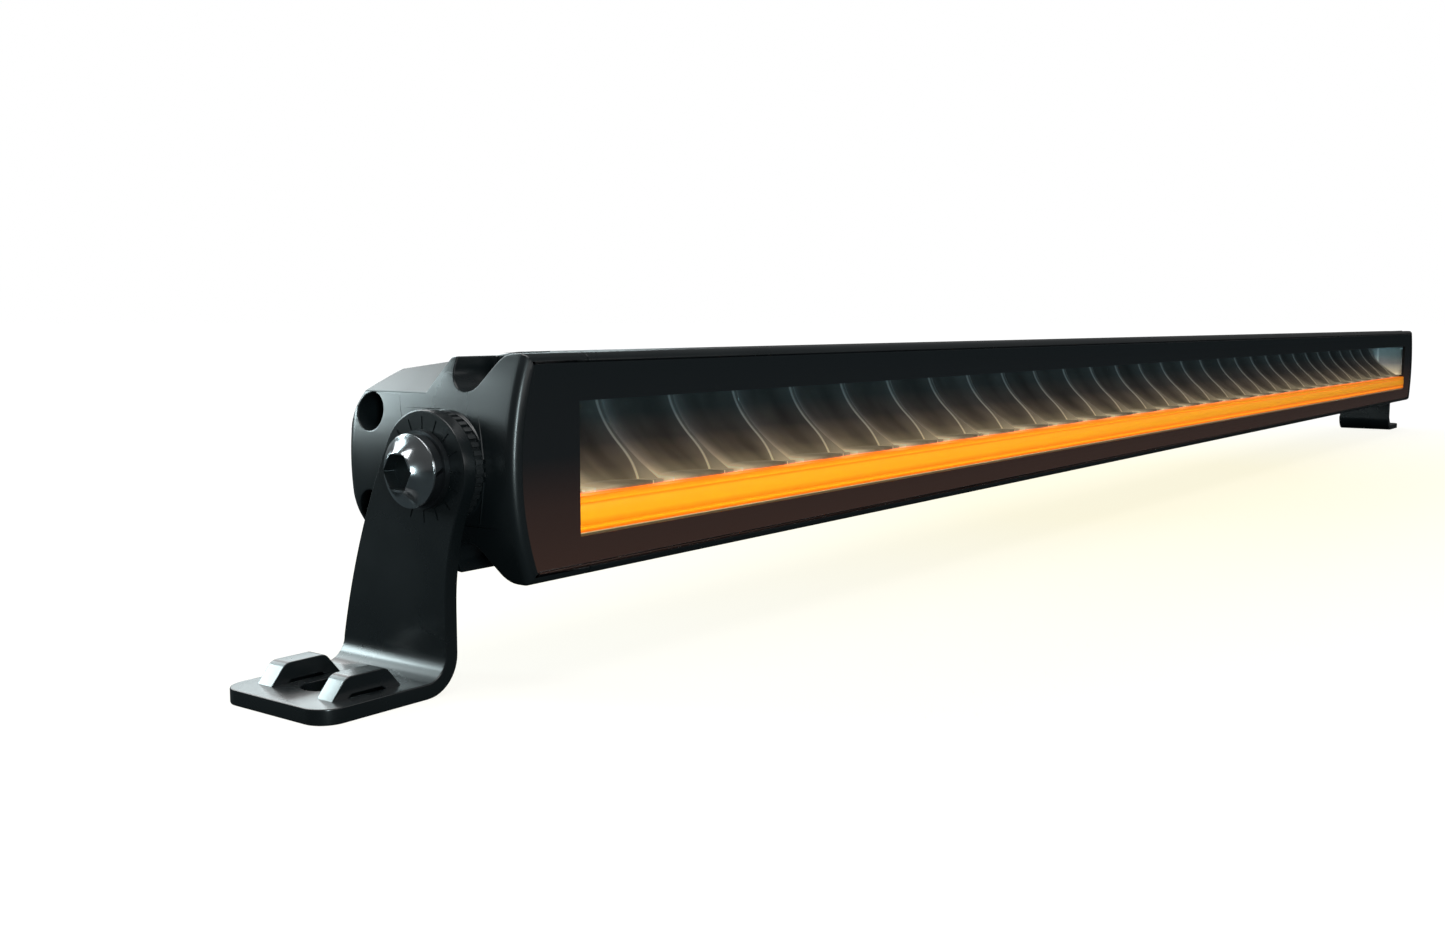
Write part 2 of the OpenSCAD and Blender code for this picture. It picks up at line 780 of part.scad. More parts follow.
// A round part on the rear wall: a hexagon base and a stem through the wall, bored right through.
module gland_body() {
    y = rear_wall_y;
    difference() {
        union() {
            translate([gland_x, y + gland_base_t, 0]) rotate([90, 30, 0])
                cylinder(h = gland_base_t, r = gland_af / 2 / cos(30), $fn = 6);
            disc_y(cavity_depth - 2, y + 1, gland_thread_r, [gland_x, 0]);
            disc_y(y + gland_base_t - 1, y + gland_base_t + gland_nut_t - 3, gland_nut_r - 1.2,
                [gland_x, 0]);
        }
        disc_y(cavity_depth - 3, y + far, gland_bore_r, [gland_x, 0]);
        disc_y(y + gland_base_t, y + far, seal_r, [gland_x, 0]);
    }
}

module cable_gland() { color("#16181a") lamp() gland_body(); }

module gland_nut() {
    y0 = rear_wall_y + gland_base_t;
    lip = 1.4;
    mouth_r = cable_r + 0.8;
    thread_r = gland_nut_r - 1.2 + screw_fit;
    thread_end = gland_nut_t - 3 + screw_fit;
    color("#16181a") lamp() translate([gland_x, y0, 0]) rotate([-90, 0, 0]) rotate_extrude()
        polygon([
            [thread_r, 0], [gland_nut_r, 0],
            [gland_nut_r, gland_nut_t - 3], [gland_nut_r - 2.2, gland_nut_t],
            [mouth_r, gland_nut_t], [mouth_r, gland_nut_t - lip],
            [seal_r + 0.4, gland_nut_t - lip], [seal_r + 0.4, thread_end],
            [thread_r, thread_end]
        ]);
}

module gland_seal() {
    y0 = rear_wall_y + gland_base_t;
    color("#0e0e0e") lamp() difference() {
        disc_y(y0, y0 + gland_nut_t - 1.4, seal_r - screw_fit, [gland_x, 0]);
        disc_y(y0 - 1, y0 + gland_nut_t, cable_r, [gland_x, 0]);
    }
}

module breather_vent() {
    y = rear_wall_y;
    color("#16181a") lamp() difference() {
        union() {
            disc_y(cavity_depth - 1.5, y + 1, vent_stem_r, [vent_x, 0]);
            translate([vent_x, y, 0]) rotate([-90, 0, 0]) rotate_extrude()
                polygon([[0, 0], [vent_r, 0], [vent_r, vent_t - 1], [vent_r - 1, vent_t], [0, vent_t]]);
        }
        disc_y(cavity_depth - 2, y + vent_t - 1.2, 1.2, [vent_x, 0]);
        for (a = [0:60:300]) translate([vent_x, y + vent_t / 2 - 0.3, 0]) rotate([0, a, 0])
            translate([vent_r - 1.5, 0, 0]) rotate([0, 90, 0]) cylinder(h = 3, r = 0.6);
    }
}

// Side outline of the upright, down to the bend.
module upright_section() {
    head = [pivot_y, 0];
    waist = [foot_y - waist_r, waist_z];
    a0 = heading(waist, head);
    flare_top = head + bracket_head_r * [cos(flare_at), sin(flare_at)];
    flare_low = [foot_y + foot_w, bend_top];
    c = arc_centre(flare_top, flare_low, flare_r);
    translate(head) circle(r = bracket_head_r);
    polygon(concat(
        [head], arc(waist, waist_r, a0, 0, 12), [[foot_y, bend_top]],
        arc(c, flare_r, heading(c, flare_low), heading(c, flare_top), 16)
    ));
}

module bracket() {
    color("#15191b") lamp() difference() {
        union() {
            along_bar(plate_in, plate_out) upright_section();
            bend();
            foot_plate();
            for (s = [-1, 1]) raised_strip(foot_mid_y + s * strip_off);
        }
        disc_x(plate_in - 1, plate_out + 1, pivot_r + running_fit, [pivot_y, 0]);
        ticks();
        mounting_slot();
    }
}

// Quarter bend between upright and foot.
module bend() {
    translate([plate_in + bend_r, foot_y, bend_top]) rotate([-90, 0, 0])
        intersection() {
            difference() {
                cylinder(h = foot_w, r = bend_r);
                translate([0, 0, -1]) cylinder(h = foot_w + 2, r = bend_r - plate);
            }
            translate([-bend_r - 1, 0, -1]) cube([bend_r + 1, bend_r + 1, foot_w + 2]);
        }
}

module foot_plate() {
    r = foot_corner_r;
    y1 = foot_y + foot_w;
    difference() {
        union() {
            block([plate_in + bend_r, foot_y, sole_z], [foot_out - r, y1, foot_top]);
            block([foot_out - r - 1, foot_y + r, sole_z], [foot_out, y1 - r, foot_top]);
            for (y = [foot_y + r, y1 - r]) disc_z(sole_z, foot_top, r, [foot_out - r, y]);
        }
        for (s = [-1, 1]) let (y = foot_mid_y + s * strip_off)
            block([slot_x - strip_len / 2, y - strip_w / 2, sole_z - 1],
                [slot_x + strip_len / 2, y + strip_w / 2, foot_top + 1]);
    }
}

// A strip of the foot pushed up between two slits, to keep a bolt's head from turning.
module raised_strip(y) {
    a = strip_len / 2;
    b = strip_flat / 2;
    under = b - 1.4;
    high = foot_top + strip_rise;
    round_r = 3;
    fall = atan2(strip_rise, a - b);
    tip = round_r * tan(fall / 2);
    translate([slot_x, y + strip_w / 2, 0]) rotate([90, 0, 0]) linear_extrude(strip_w) polygon(concat(
        [[-a, sole_z], [-a, foot_top]],
        arc([-b + tip, high - round_r], round_r, 90 + fall, 90, 4),
        arc([b - tip, high - round_r], round_r, 90, 90 - fall, 4),
        [[a, foot_top], [a, sole_z], [under, foot_top + strip_slit], [-under, foot_top + strip_slit]]
    ));
}

// Angle marks round the pivot, on the outer face.
module ticks() {
    for (i = [0:tick_count - 1]) translate([plate_out, pivot_y, 0]) rotate([i * 360 / tick_count, 0, 0])
        block([-tick_depth, tick_in, -tick_w / 2], [1, tick_out, tick_w / 2]);
}

module mounting_slot() {
    reach = slot_len / 2 - slot_r;
    for (s = [-1, 1]) disc_z(sole_z - 1, foot_top + 1, slot_r, [slot_x + s * reach, foot_mid_y]);
    block([slot_x - reach, foot_mid_y - slot_r, sole_z - 1],
        [slot_x + reach, foot_mid_y + slot_r, foot_top + 1]);
}

module pivot_bolt() {
    color("#c9cdd0") lamp() translate([head_x, pivot_y, 0]) rotate([0, 90, 0])
        socket_screw(pivot_r, pivot_len, pivot_head_r, pivot_head_h, pivot_socket);
}

module washer(x, t, r) {
    lamp() difference() {
        disc_x(x, x + t, r, [pivot_y, 0]);
        disc_x(x - 1, x + t + 1, pivot_r + 0.25, [pivot_y, 0]);
    }
}

// Split spring washer: a ring with a slanting cut.
module spring_washer() {
    color("#3a3f42") difference() {
        washer(spring_x, spring_washer_t, spring_r);
        lamp() translate([spring_x + spring_washer_t / 2, pivot_y - 7, 0])
            rotate([0, 30, 0]) cube([12, 5, 1], center = true);
    }
}

module plain_washer() { color("#3a3f42") washer(washer_x, plain_washer_t, washer_r); }

// Ring with small teeth round its edge, seated on the cap's boss.
module tilt_ring() {
    root_r = tilt_ring_r - 0.7;
    color("#191c1e") lamp() difference() {
        union() {
            disc_x(boss_x, boss_x + tilt_ring_t, root_r, [pivot_y, 0]);
            for (i = [0:ring_teeth - 1]) translate([boss_x + 0.4, pivot_y, 0])
                rotate([i * 360 / ring_teeth, 0, 0]) block([0, root_r - 0.5, -0.6],
                    [tilt_ring_t - 0.8, tilt_ring_r, 0.6]);
        }
        disc_x(boss_x - 1, plate_out, pivot_r + 0.25, [pivot_y, 0]);
    }
}

module left_end_cap() { color("#20262a") lamp() left_side() end_cap(); }
module right_end_cap() { color("#20262a") lamp() end_cap(); }
module left_end_gasket() { color("#0c0c0c") lamp() left_side() end_gasket(); }
module right_end_gasket() { color("#0c0c0c") lamp() end_gasket(); }
module left_cap_screws() { color("#50585c") lamp() left_side() cap_screws(); }
module right_cap_screws() { color("#50585c") lamp() cap_screws(); }
module left_bracket() { left_side() bracket(); }
module right_bracket() { bracket(); }
module left_pivot_bolt() { left_side() pivot_bolt(); }
module right_pivot_bolt() { pivot_bolt(); }
module left_spring_washer() { left_side() spring_washer(); }
module right_spring_washer() { spring_washer(); }
module left_plain_washer() { left_side() plain_washer(); }
module right_plain_washer() { plain_washer(); }
module left_tilt_ring() { left_side() tilt_ring(); }
module right_tilt_ring() { tilt_ring(); }

housing_extrusion();
left_end_cap();
right_end_cap();
left_end_gasket();
right_end_gasket();
left_cap_screws();
right_cap_screws();
lens();
lens_mask();
lens_gasket();
left_reflector();
centre_reflector();
right_reflector();
left_reflector_end();
right_reflector_end();
reflector_screws();
left_led_board();
centre_led_board();
right_led_board();
thermal_pads();
led_chips();
led_board_screws();
light_guide();
guide_carrier();
amber_board();
amber_leds();
driver_board();
driver_parts();
driver_standoffs();
driver_screws();
cable_gland();
gland_nut();
gland_seal();
breather_vent();
left_bracket();
right_bracket();
left_pivot_bolt();
right_pivot_bolt();
left_spring_washer();
right_spring_washer();
left_plain_washer();
right_plain_washer();
left_tilt_ring();
right_tilt_ring();
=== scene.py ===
"""Slim LED light bar on two tilting brackets: the looks of every piece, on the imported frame."""

import json
from math import asin, atan2, cos, degrees, pi, radians, sin, sqrt, tan

import bmesh
import bpy
from mathutils import Matrix, Vector


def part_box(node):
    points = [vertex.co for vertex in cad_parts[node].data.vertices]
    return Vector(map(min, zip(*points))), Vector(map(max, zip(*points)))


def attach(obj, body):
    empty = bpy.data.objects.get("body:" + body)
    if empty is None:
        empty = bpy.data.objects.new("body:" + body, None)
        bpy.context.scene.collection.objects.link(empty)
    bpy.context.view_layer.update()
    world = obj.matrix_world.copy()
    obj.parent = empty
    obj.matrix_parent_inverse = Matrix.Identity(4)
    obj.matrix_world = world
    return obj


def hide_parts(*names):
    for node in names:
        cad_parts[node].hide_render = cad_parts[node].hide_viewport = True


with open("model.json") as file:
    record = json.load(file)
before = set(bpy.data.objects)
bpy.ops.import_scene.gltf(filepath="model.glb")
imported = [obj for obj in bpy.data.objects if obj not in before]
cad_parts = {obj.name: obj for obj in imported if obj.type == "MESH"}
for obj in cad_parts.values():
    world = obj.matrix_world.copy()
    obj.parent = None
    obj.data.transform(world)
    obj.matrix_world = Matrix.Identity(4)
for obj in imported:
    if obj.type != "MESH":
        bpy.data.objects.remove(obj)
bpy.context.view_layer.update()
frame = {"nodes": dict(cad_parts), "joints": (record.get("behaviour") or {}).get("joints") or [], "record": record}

# ---------------------------------------------------------------- the lamp's own frame, in millimetres
# X along the bar, Y = 0 on the lens face and growing backwards, Z = 0 at the pivot.

MM = 0.001
pivot = Vector(next(j for j in frame["joints"] if j["name"] == "lamp_tilt")["pos_m"])
LENS_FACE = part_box("lens")[0].y
LAMP = Matrix.Translation((0, LENS_FACE, pivot.z)) @ Matrix.Scale(MM, 4)


def span(node, axis):
    """Lowest and highest place of a CAD node along one axis, in the lamp's millimetres."""
    low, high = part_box(node)
    off = (0, LENS_FACE, pivot.z)[axis]
    return (low[axis] - off) / MM, (high[axis] - off) / MM


# Lamp body: ends, section and the bow of its ends
CAP_X, HALF_LEN = span("right_end_cap", 0)
SEAM_X = span("housing_extrusion", 0)[1]
HALF_H = span("housing_extrusion", 2)[1]
DEPTH = span("right_end_cap", 1)[1]
PIVOT_Y = (pivot.y - LENS_FACE) / MM
FLAT_TOP = 18.0
BACK_R = 30.6
BACK_Y = DEPTH - BACK_R
SLOPE_Z = 0.835 * HALF_H
BEZEL_R = 2.8
END_BOW_R = 75.0
BOW_X = HALF_LEN - END_BOW_R
CAP_ROUND = 4.0

# Cavity, rear wall and fins
LEDGE_Y, LEDGE_Z = 4.0, 22.5
BOARD_LEDGE_Y = LEDGE_Y + 2.5
CAVITY_Y, REAR_WALL_Y = 42.0, 45.5
SHELF_Z, CAVITY_FLOOR = 21.0, -26.6
DRIVER_Y, DRIVER_FLOOR = 23.2, -23.2
FIN_PITCH, FIN_T = 6.5, 2.3
GLAND_X, VENT_X = 0.0, 70.0
FITTING_FLAT, FLAT_HALF_H = 14.0, 8.7

# Lens and window
LENS_HALF_H = span("lens", 2)[1]
LENS_MID = span("lens", 0)[1]
LENS_T = span("lens", 1)[1]
LENS_BOW_R = LENS_MID - BOW_X
SEAM = 0.3
WINDOW_HALF, WINDOW_TOP, WINDOW_BOTTOM = 507.0, 16.5, -18.1

# Recesses and facets of the end caps
PORT_REAR, PORT_WALL_R = (54.3, 13.0), 3.6
SCALLOP_X = CAP_X + 8.5
SCALLOP_FRONT, SCALLOP_R, SCALLOP_LEAN = (19.1, 25.1), 5.8, 50
REAR_SCALLOP_R = 5.0
CHAMFER_START, CHAMFER_LOW_Z, CHAMFER_OUT = 33.8, 18.5, 2.2
CHAMFER_LEAN, CHAMFER_RAKE = 55, 36

# Reflectors
CELL_W, RIB_W, CELLS = 33.5, 1.5, 10
MODULE_W = CELLS * CELL_W
FOCAL, VERTEX_Y, AXIS_Z = 7.6, 38.7, 18.5
SHELL_TOP, FLOOR_Z = AXIS_Z + 0.1, -7.4

# Brackets
PLATE = 4.0
SOLE_Z = -pivot.z / MM
FOOT_TOP = SOLE_Z + PLATE
PLATE_IN, FOOT_OUT = span("right_bracket", 0)
FOOT_Y1 = span("right_bracket", 1)[1]
FOOT_Y0 = FOOT_Y1 - 40
BORE_R, SLOT_R, SLOT_REACH = 5.08, 5.25, 1.75
STRIP_HALF, STRIP_FLAT, STRIP_W = 10.35, 6.0, 6.0
STRIP_OFF, STRIP_RISE, STRIP_SLIT = 11.7, 5.2, 0.7

# ---------------------------------------------------------------- mesh helpers


def arc(centre, r, a, b, n):
    """n + 1 points on an arc, angles in degrees, as (y, z) or any other pair."""
    return [(centre[0] + r * cos(radians(a + (b - a) * i / n)),
             centre[1] + r * sin(radians(a + (b - a) * i / n))) for i in range(n + 1)]


def heading(p, q):
    """Direction from p to q, in degrees."""
    return degrees(atan2(q[1] - p[1], q[0] - p[0]))


def arc_centre(p, q, r):
    """Centre of the circle of radius r through p and q, to the right of the line from p to q."""
    half = sqrt((q[0] - p[0]) ** 2 + (q[1] - p[1]) ** 2) / 2
    d = ((q[0] - p[0]) / (2 * half), (q[1] - p[1]) / (2 * half))
    reach = sqrt(r * r - half * half)
    return ((p[0] + q[0]) / 2 + reach * d[1], (p[1] + q[1]) / 2 - reach * d[0])


def placed(p, plane, at):
    """A point of a flat drawing in space: the drawing's plane stands at one place on its third axis."""
    u, v = p
    return {"yz": (at, u, v), "xz": (u, at, v), "xy": (u, v, at)}[plane]


AXIS_OF = {"yz": Vector((1, 0, 0)), "xz": Vector((0, 1, 0)), "xy": Vector((0, 0, 1))}


def prism(points, plane, a, b):
    """A bmesh: a closed outline in one plane, extruded from place a to place b."""
    bm = bmesh.new()
    face = bm.faces.new([bm.verts.new(placed(p, plane, a)) for p in points])
    out = bmesh.ops.extrude_face_region(bm, geom=[face])
    moved = [v for v in out["geom"] if isinstance(v, bmesh.types.BMVert)]
    bmesh.ops.translate(bm, vec=AXIS_OF[plane] * (b - a), verts=moved)
    bmesh.ops.recalc_face_normals(bm, faces=bm.faces)
    return bm


def turned(profile, steps=96, to_x=True):
    """A bmesh: a half outline of (radius, height) spun once about its axis, then laid along X."""
    bm = bmesh.new()
    verts = [bm.verts.new((r, 0, h)) for r, h in profile]
    edges = [bm.edges.new(pair) for pair in zip(verts, verts[1:])]
    bmesh.ops.spin(bm, geom=verts + edges, cent=(0, 0, 0), axis=(0, 0, 1), angle=2 * pi,
                   steps=steps, use_merge=True)
    bmesh.ops.remove_doubles(bm, verts=bm.verts, dist=1e-4)
    bmesh.ops.recalc_face_normals(bm, faces=bm.faces)
    if to_x:
        bmesh.ops.rotate(bm, cent=(0, 0, 0), matrix=Matrix.Rotation(pi / 2, 3, "Y"), verts=bm.verts)
    return bm


def box_form(low, high):
    """A block between two corners."""
    bm = bmesh.new()
    bmesh.ops.create_cube(bm, size=1)
    low, high = Vector(low), Vector(high)
    bmesh.ops.scale(bm, vec=high - low, verts=bm.verts)
    bmesh.ops.translate(bm, vec=(low + high) / 2, verts=bm.verts)
    return bm


def rod(axis, a, b, r, at, sides=64):
    """A cylinder along X, Y or Z from a to b, with its middle at the other two places."""
    bm = bmesh.new()
    bmesh.ops.create_cone(bm, cap_ends=True, segments=sides, radius1=r, radius2=r, depth=b - a)
    turn = {"x": Matrix.Rotation(pi / 2, 3, "Y"), "y": Matrix.Rotation(-pi / 2, 3, "X"),
            "z": Matrix.Identity(3)}[axis]
    bmesh.ops.rotate(bm, cent=(0, 0, 0), matrix=turn, verts=bm.verts)
    mid = (a + b) / 2
    place = {"x": (mid, *at), "y": (at[0], mid, at[1]), "z": (*at, mid)}[axis]
    bmesh.ops.translate(bm, vec=place, verts=bm.verts)
    return bm


def soften(bm, width, angle=30, segments=2, clamp=True):
    """Bevels every edge sharper than the angle, in degrees."""
    sharp = [e for e in bm.edges if len(e.link_faces) == 2 and e.calc_face_angle(0) > radians(angle)]
    bmesh.ops.bevel(bm, geom=sharp, offset=width, offset_type="OFFSET", affect="EDGES",
                    segments=segments, profile=0.5, clamp_overlap=clamp, material=-1)
    return bm


def split_flats(bm, dist, *places):
    """Cuts the faces along planes Y = y or Z = z, so that no flat face folds round a hollow."""
    for axis, place in places:
        across = Vector((0, axis == "y", axis == "z"))
        bmesh.ops.bisect_plane(bm, geom=bm.verts[:] + bm.edges[:] + bm.faces[:], dist=dist,
                               plane_co=across * place, plane_no=across)


def join(*forms):
    """One bmesh that holds all the given ones."""
    whole = bmesh.new()
    for bm in forms:
        mesh = bpy.data.meshes.new("part")
        bm.to_mesh(mesh)
        bm.free()
        whole.from_mesh(mesh)
        bpy.data.meshes.remove(mesh)
    return whole


def boolean(bm, how, *tools):
    """The bmesh after cutting by, or joining with, or keeping what it shares with each tool."""
    scene = bpy.context.scene
    mesh = bpy.data.meshes.new("work")
    bm.to_mesh(mesh)
    bm.free()
    work = bpy.data.objects.new("work", mesh)
    scene.collection.objects.link(work)
    others = []
    for tool in tools:
        tool_mesh = bpy.data.meshes.new("tool")
        tool.to_mesh(tool_mesh)
        tool.free()
        other = bpy.data.objects.new("tool", tool_mesh)
        scene.collection.objects.link(other)
        mod = work.modifiers.new("cut", "BOOLEAN")
        mod.operation = how
        mod.solver = "EXACT"
        mod.object = other
        others.append(other)
    result = bmesh.new()
    result.from_object(work, bpy.context.evaluated_depsgraph_get())
    for o in [work] + others:
        old = o.data
        bpy.data.objects.remove(o)
        bpy.data.meshes.remove(old)
    bmesh.ops.remove_doubles(result, verts=result.verts, dist=1e-3)
    bmesh.ops.dissolve_limit(result, angle_limit=radians(0.5), verts=result.verts, edges=result.edges)
    return result


def flipped(bm):
    """The mirror image about X = 0, with its faces still outwards."""
    bmesh.ops.scale(bm, vec=(-1, 1, 1), verts=bm.verts)
    bmesh.ops.reverse_faces(bm, faces=bm.faces)
    return bm


def both_z(bm):
    """The form and its mirror image about Z = 0."""
    twin = bm.copy()
    bmesh.ops.scale(twin, vec=(1, 1, -1), verts=twin.verts)
    bmesh.ops.reverse_faces(twin, faces=twin.faces)
    return join(bm, twin)


def piece(name, bm, material, body, slot, *nodes, smooth=32):
    """Makes an object from a bmesh in the lamp's millimetres, and lets it stand for the CAD nodes."""
    bm.transform(LAMP)
    for face in bm.faces:
        face.smooth = True
    for edge in bm.edges:
        if len(edge.link_faces) == 2 and edge.calc_face_angle(0) > radians(smooth):
            edge.smooth = False
    mesh = bpy.data.meshes.new(name)
    bm.to_mesh(mesh)
    bm.free()
    obj = bpy.data.objects.new(name, mesh)
    bpy.context.scene.collection.objects.link(obj)
    mesh.materials.append(material)
    even = obj.modifiers.new("even_shading", "WEIGHTED_NORMAL")
    even.weight = 100
    even.keep_sharp = True
    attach(obj, body)
    if nodes:
        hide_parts(*nodes)
    return obj


# ---------------------------------------------------------------- shader groups


def feed(link, socket, value):
    """Links a socket to an output, or sets it where the value is a plain number."""
    if isinstance(value, bpy.types.NodeSocket):
        link(value, socket)
    else:
        socket.default_value = value


def object_noise(n, link, scale, detail=2.0):
    """Noise on the piece's own coordinates."""
    coords = n.new("ShaderNodeTexCoord")
    noise = n.new("ShaderNodeTexNoise")
    feed(link, noise.inputs["Scale"], scale)
    noise.inputs["Detail"].default_value = detail
    link(coords.outputs["Object"], noise.inputs["Vector"])
    return noise.outputs["Fac"]


def remap(n, link, value, from_min=0.0, from_max=1.0, to_min=0.0, to_max=1.0):
    """The value carried from one range to another."""
    level = n.new("ShaderNodeMapRange")
    level.inputs["From Min"].default_value = from_min
    level.inputs["From Max"].default_value = from_max
    level.inputs["To Min"].default_value = to_min
    level.inputs["To Max"].default_value = to_max
    link(value, level.inputs["Value"])
    return level.outputs["Result"]


def calculate(n, link, operation, *values):
    """A Math node on outputs and plain numbers."""
    step = n.new("ShaderNodeMath")
    step.operation = operation
    for socket, value in zip(step.inputs, values):
        feed(link, socket, value)
    return step.outputs["Value"]


def blend(n, link, how, factor, a, b):
    """Two colours mixed."""
    mixed = n.new("ShaderNodeMix")
    mixed.data_type = "RGBA"
    mixed.blend_type = how
    feed(link, mixed.inputs["Factor"], factor)
    link(a, mixed.inputs["A"])
    link(b, mixed.inputs["B"])
    return mixed.outputs["Result"]


def colour_steps(n, link, value, stops):
    """Colours between places from 0 to 1."""
    ramp = n.new("ShaderNodeValToRGB")
    for _ in range(len(stops) - 2):
        ramp.color_ramp.elements.new(0.5)
    for element, (place, colour) in zip(ramp.color_ramp.elements, stops):
        element.position = place
        element.color = (*colour, 1)
    link(value, ramp.inputs["Fac"])
    return ramp.outputs["Color"]


def grey_steps(n, link, value, stops):
    """Grey levels between places from 0 to 1."""
    return colour_steps(n, link, value, [(place, (level, level, level)) for place, level in stops])


def object_place(n, link):
    """The piece's own X, Y and Z."""
    coords = n.new("ShaderNodeTexCoord")
    split = n.new("ShaderNodeSeparateXYZ")
    link(coords.outputs["Object"], split.inputs["Vector"])
    return split.outputs


def ramp_along(n, link, axis, low, high, stops):
    """Colours along one axis of the piece between two places in metres."""
    return colour_steps(n, link, remap(n, link, object_place(n, link)[axis], low, high), stops)


def new_group(name, inputs, outputs):
    group = bpy.data.node_groups.new(name, "ShaderNodeTree")
    for label, kind, value in inputs:
        socket = group.interface.new_socket(name=label, in_out="INPUT", socket_type=kind)
        socket.default_value = value
    for label, kind in outputs:
        group.interface.new_socket(name=label, in_out="OUTPUT", socket_type=kind)
    return group, group.nodes.new("NodeGroupInput"), group.nodes.new("NodeGroupOutput")


FLOAT, COLOUR = "NodeSocketFloat", "NodeSocketColor"


def coat_group():
    """Powder coat: a fine orange-peel height, a slow roughness change and a slight colour change."""
    group, enter, leave = new_group(
        "powder_coat",
        [("Colour", COLOUR, (0.02, 0.02, 0.02, 1)), ("Edge colour", COLOUR, (0.1, 0.1, 0.1, 1)),
         ("Grain", FLOAT, 1800.0), ("Roughness", FLOAT, 0.4), ("Spread", FLOAT, 0.08)],
        [("Colour", COLOUR), ("Roughness", FLOAT), ("Height", FLOAT)])
    n, link = group.nodes, group.links.new
    fine = object_noise(n, link, enter.outputs["Grain"], detail=3)
    level = remap(n, link, object_noise(n, link, 38, detail=4), 0.3, 0.7)
    tone = blend(n, link, "MIX", calculate(n, link, "MULTIPLY", level, 0.22),
                 enter.outputs["Colour"], enter.outputs["Edge colour"])
    rough = calculate(n, link, "MULTIPLY_ADD", level, enter.outputs["Spread"],
                      enter.outputs["Roughness"])
    link(tone, leave.inputs["Colour"])
    link(rough, leave.inputs["Roughness"])
    link(fine, leave.inputs["Height"])
    return group


COAT = coat_group()


def new_material(name):
    mat = bpy.data.materials.new(name)
    mat.use_nodes = True
    return mat, mat.node_tree.nodes, mat.node_tree.links.new, mat.node_tree.nodes["Principled BSDF"]


def coated(name, colour, edge, roughness, grain=1800.0, coat=0.0, metallic=0.0):
    """A material on the powder-coat group."""
    mat, n, link, shader = new_material(name)
    group = n.new("ShaderNodeGroup")
    group.node_tree = COAT
    group.inputs["Colour"].default_value = (*colour, 1)
    group.inputs["Edge colour"].default_value = (*edge, 1)
    group.inputs["Roughness"].default_value = roughness
    group.inputs["Grain"].default_value = grain
    link(group.outputs["Colour"], shader.inputs["Base Color"])
    link(group.outputs["Roughness"], shader.inputs["Roughness"])
    height = n.new("ShaderNodeBump")
    height.inputs["Strength"].default_value = 0.05
    height.inputs["Distance"].default_value = 0.0001
    link(group.outputs["Height"], height.inputs["Height"])
    link(height.outputs["Normal"], shader.inputs["Normal"])
    shader.inputs["Metallic"].default_value = metallic
    shader.inputs["Coat Weight"].default_value = coat
    shader.inputs["Coat Roughness"].default_value = 0.15
    return mat


def glowing(link, shader, colour, strength, roughness):
    """Sets a surface whose colour is also the light that it gives."""
    link(colour, shader.inputs["Base Color"])
    link(colour, shader.inputs["Emission Color"])
    shader.inputs["Emission Strength"].default_value = strength
    shader.inputs["Roughness"].default_value = roughness


def row_z(z):
    """A height in the lamp's millimetres as a height in the row frame, in metres."""
    return (LAMP @ Vector((0, 0, z))).z


# ---------------------------------------------------------------- materials

HOUSING = coated("housing_coat", (0.006, 0.0085, 0.0095), (0.012, 0.017, 0.019), 0.26, coat=0.15)
BRACKET = coated("bracket_coat", (0.006, 0.0082, 0.009), (0.012, 0.016, 0.018), 0.24, coat=0.15)
RING = coated("ring_coat", (0.011, 0.013, 0.014), (0.03, 0.034, 0.036), 0.42)
SCREW_BLACK = coated("black_oxide", (0.02, 0.023, 0.025), (0.05, 0.055, 0.058), 0.32, metallic=0.8)
WASHER = coated("black_zinc", (0.028, 0.032, 0.035), (0.08, 0.085, 0.09), 0.34, metallic=0.75)
RUBBER = coated("seal_rubber", (0.012, 0.012, 0.012), (0.02, 0.02, 0.02), 0.7, grain=900)
NYLON = coated("moulded_nylon", (0.014, 0.015, 0.016), (0.03, 0.032, 0.033), 0.45, grain=1200)
CARRIER = coated("carrier_plastic", (0.02, 0.018, 0.016), (0.04, 0.036, 0.03), 0.4, grain=1200)
GREEN_BOARD = coated("green_board", (0.015, 0.1, 0.05), (0.03, 0.15, 0.08), 0.35, grain=600)
WHITE_BOARD = coated("white_board", (0.75, 0.76, 0.72), (0.68, 0.69, 0.65), 0.4, grain=600)
PAD = coated("thermal_pad", (0.25, 0.31, 0.42), (0.3, 0.36, 0.47), 0.8, grain=700)
PARTS = coated("component_bodies", (0.02, 0.022, 0.025), (0.06, 0.06, 0.065), 0.35, grain=700)
ZINC = coated("zinc_plate", (0.5, 0.5, 0.5), (0.66, 0.65, 0.6), 0.3, grain=900, metallic=1.0)


def bright_steel():
    mat, n, link, shader = new_material("bright_steel")
    noise = object_noise(n, link, 260, detail=5)
    tone = colour_steps(n, link, noise, [(0.0, (0.42, 0.46, 0.48)), (1.0, (0.62, 0.66, 0.68))])
    link(tone, shader.inputs["Base Color"])
    link(remap(n, link, noise, to_min=0.1, to_max=0.26), shader.inputs["Roughness"])
    shader.inputs["Metallic"].default_value = 1
    return mat


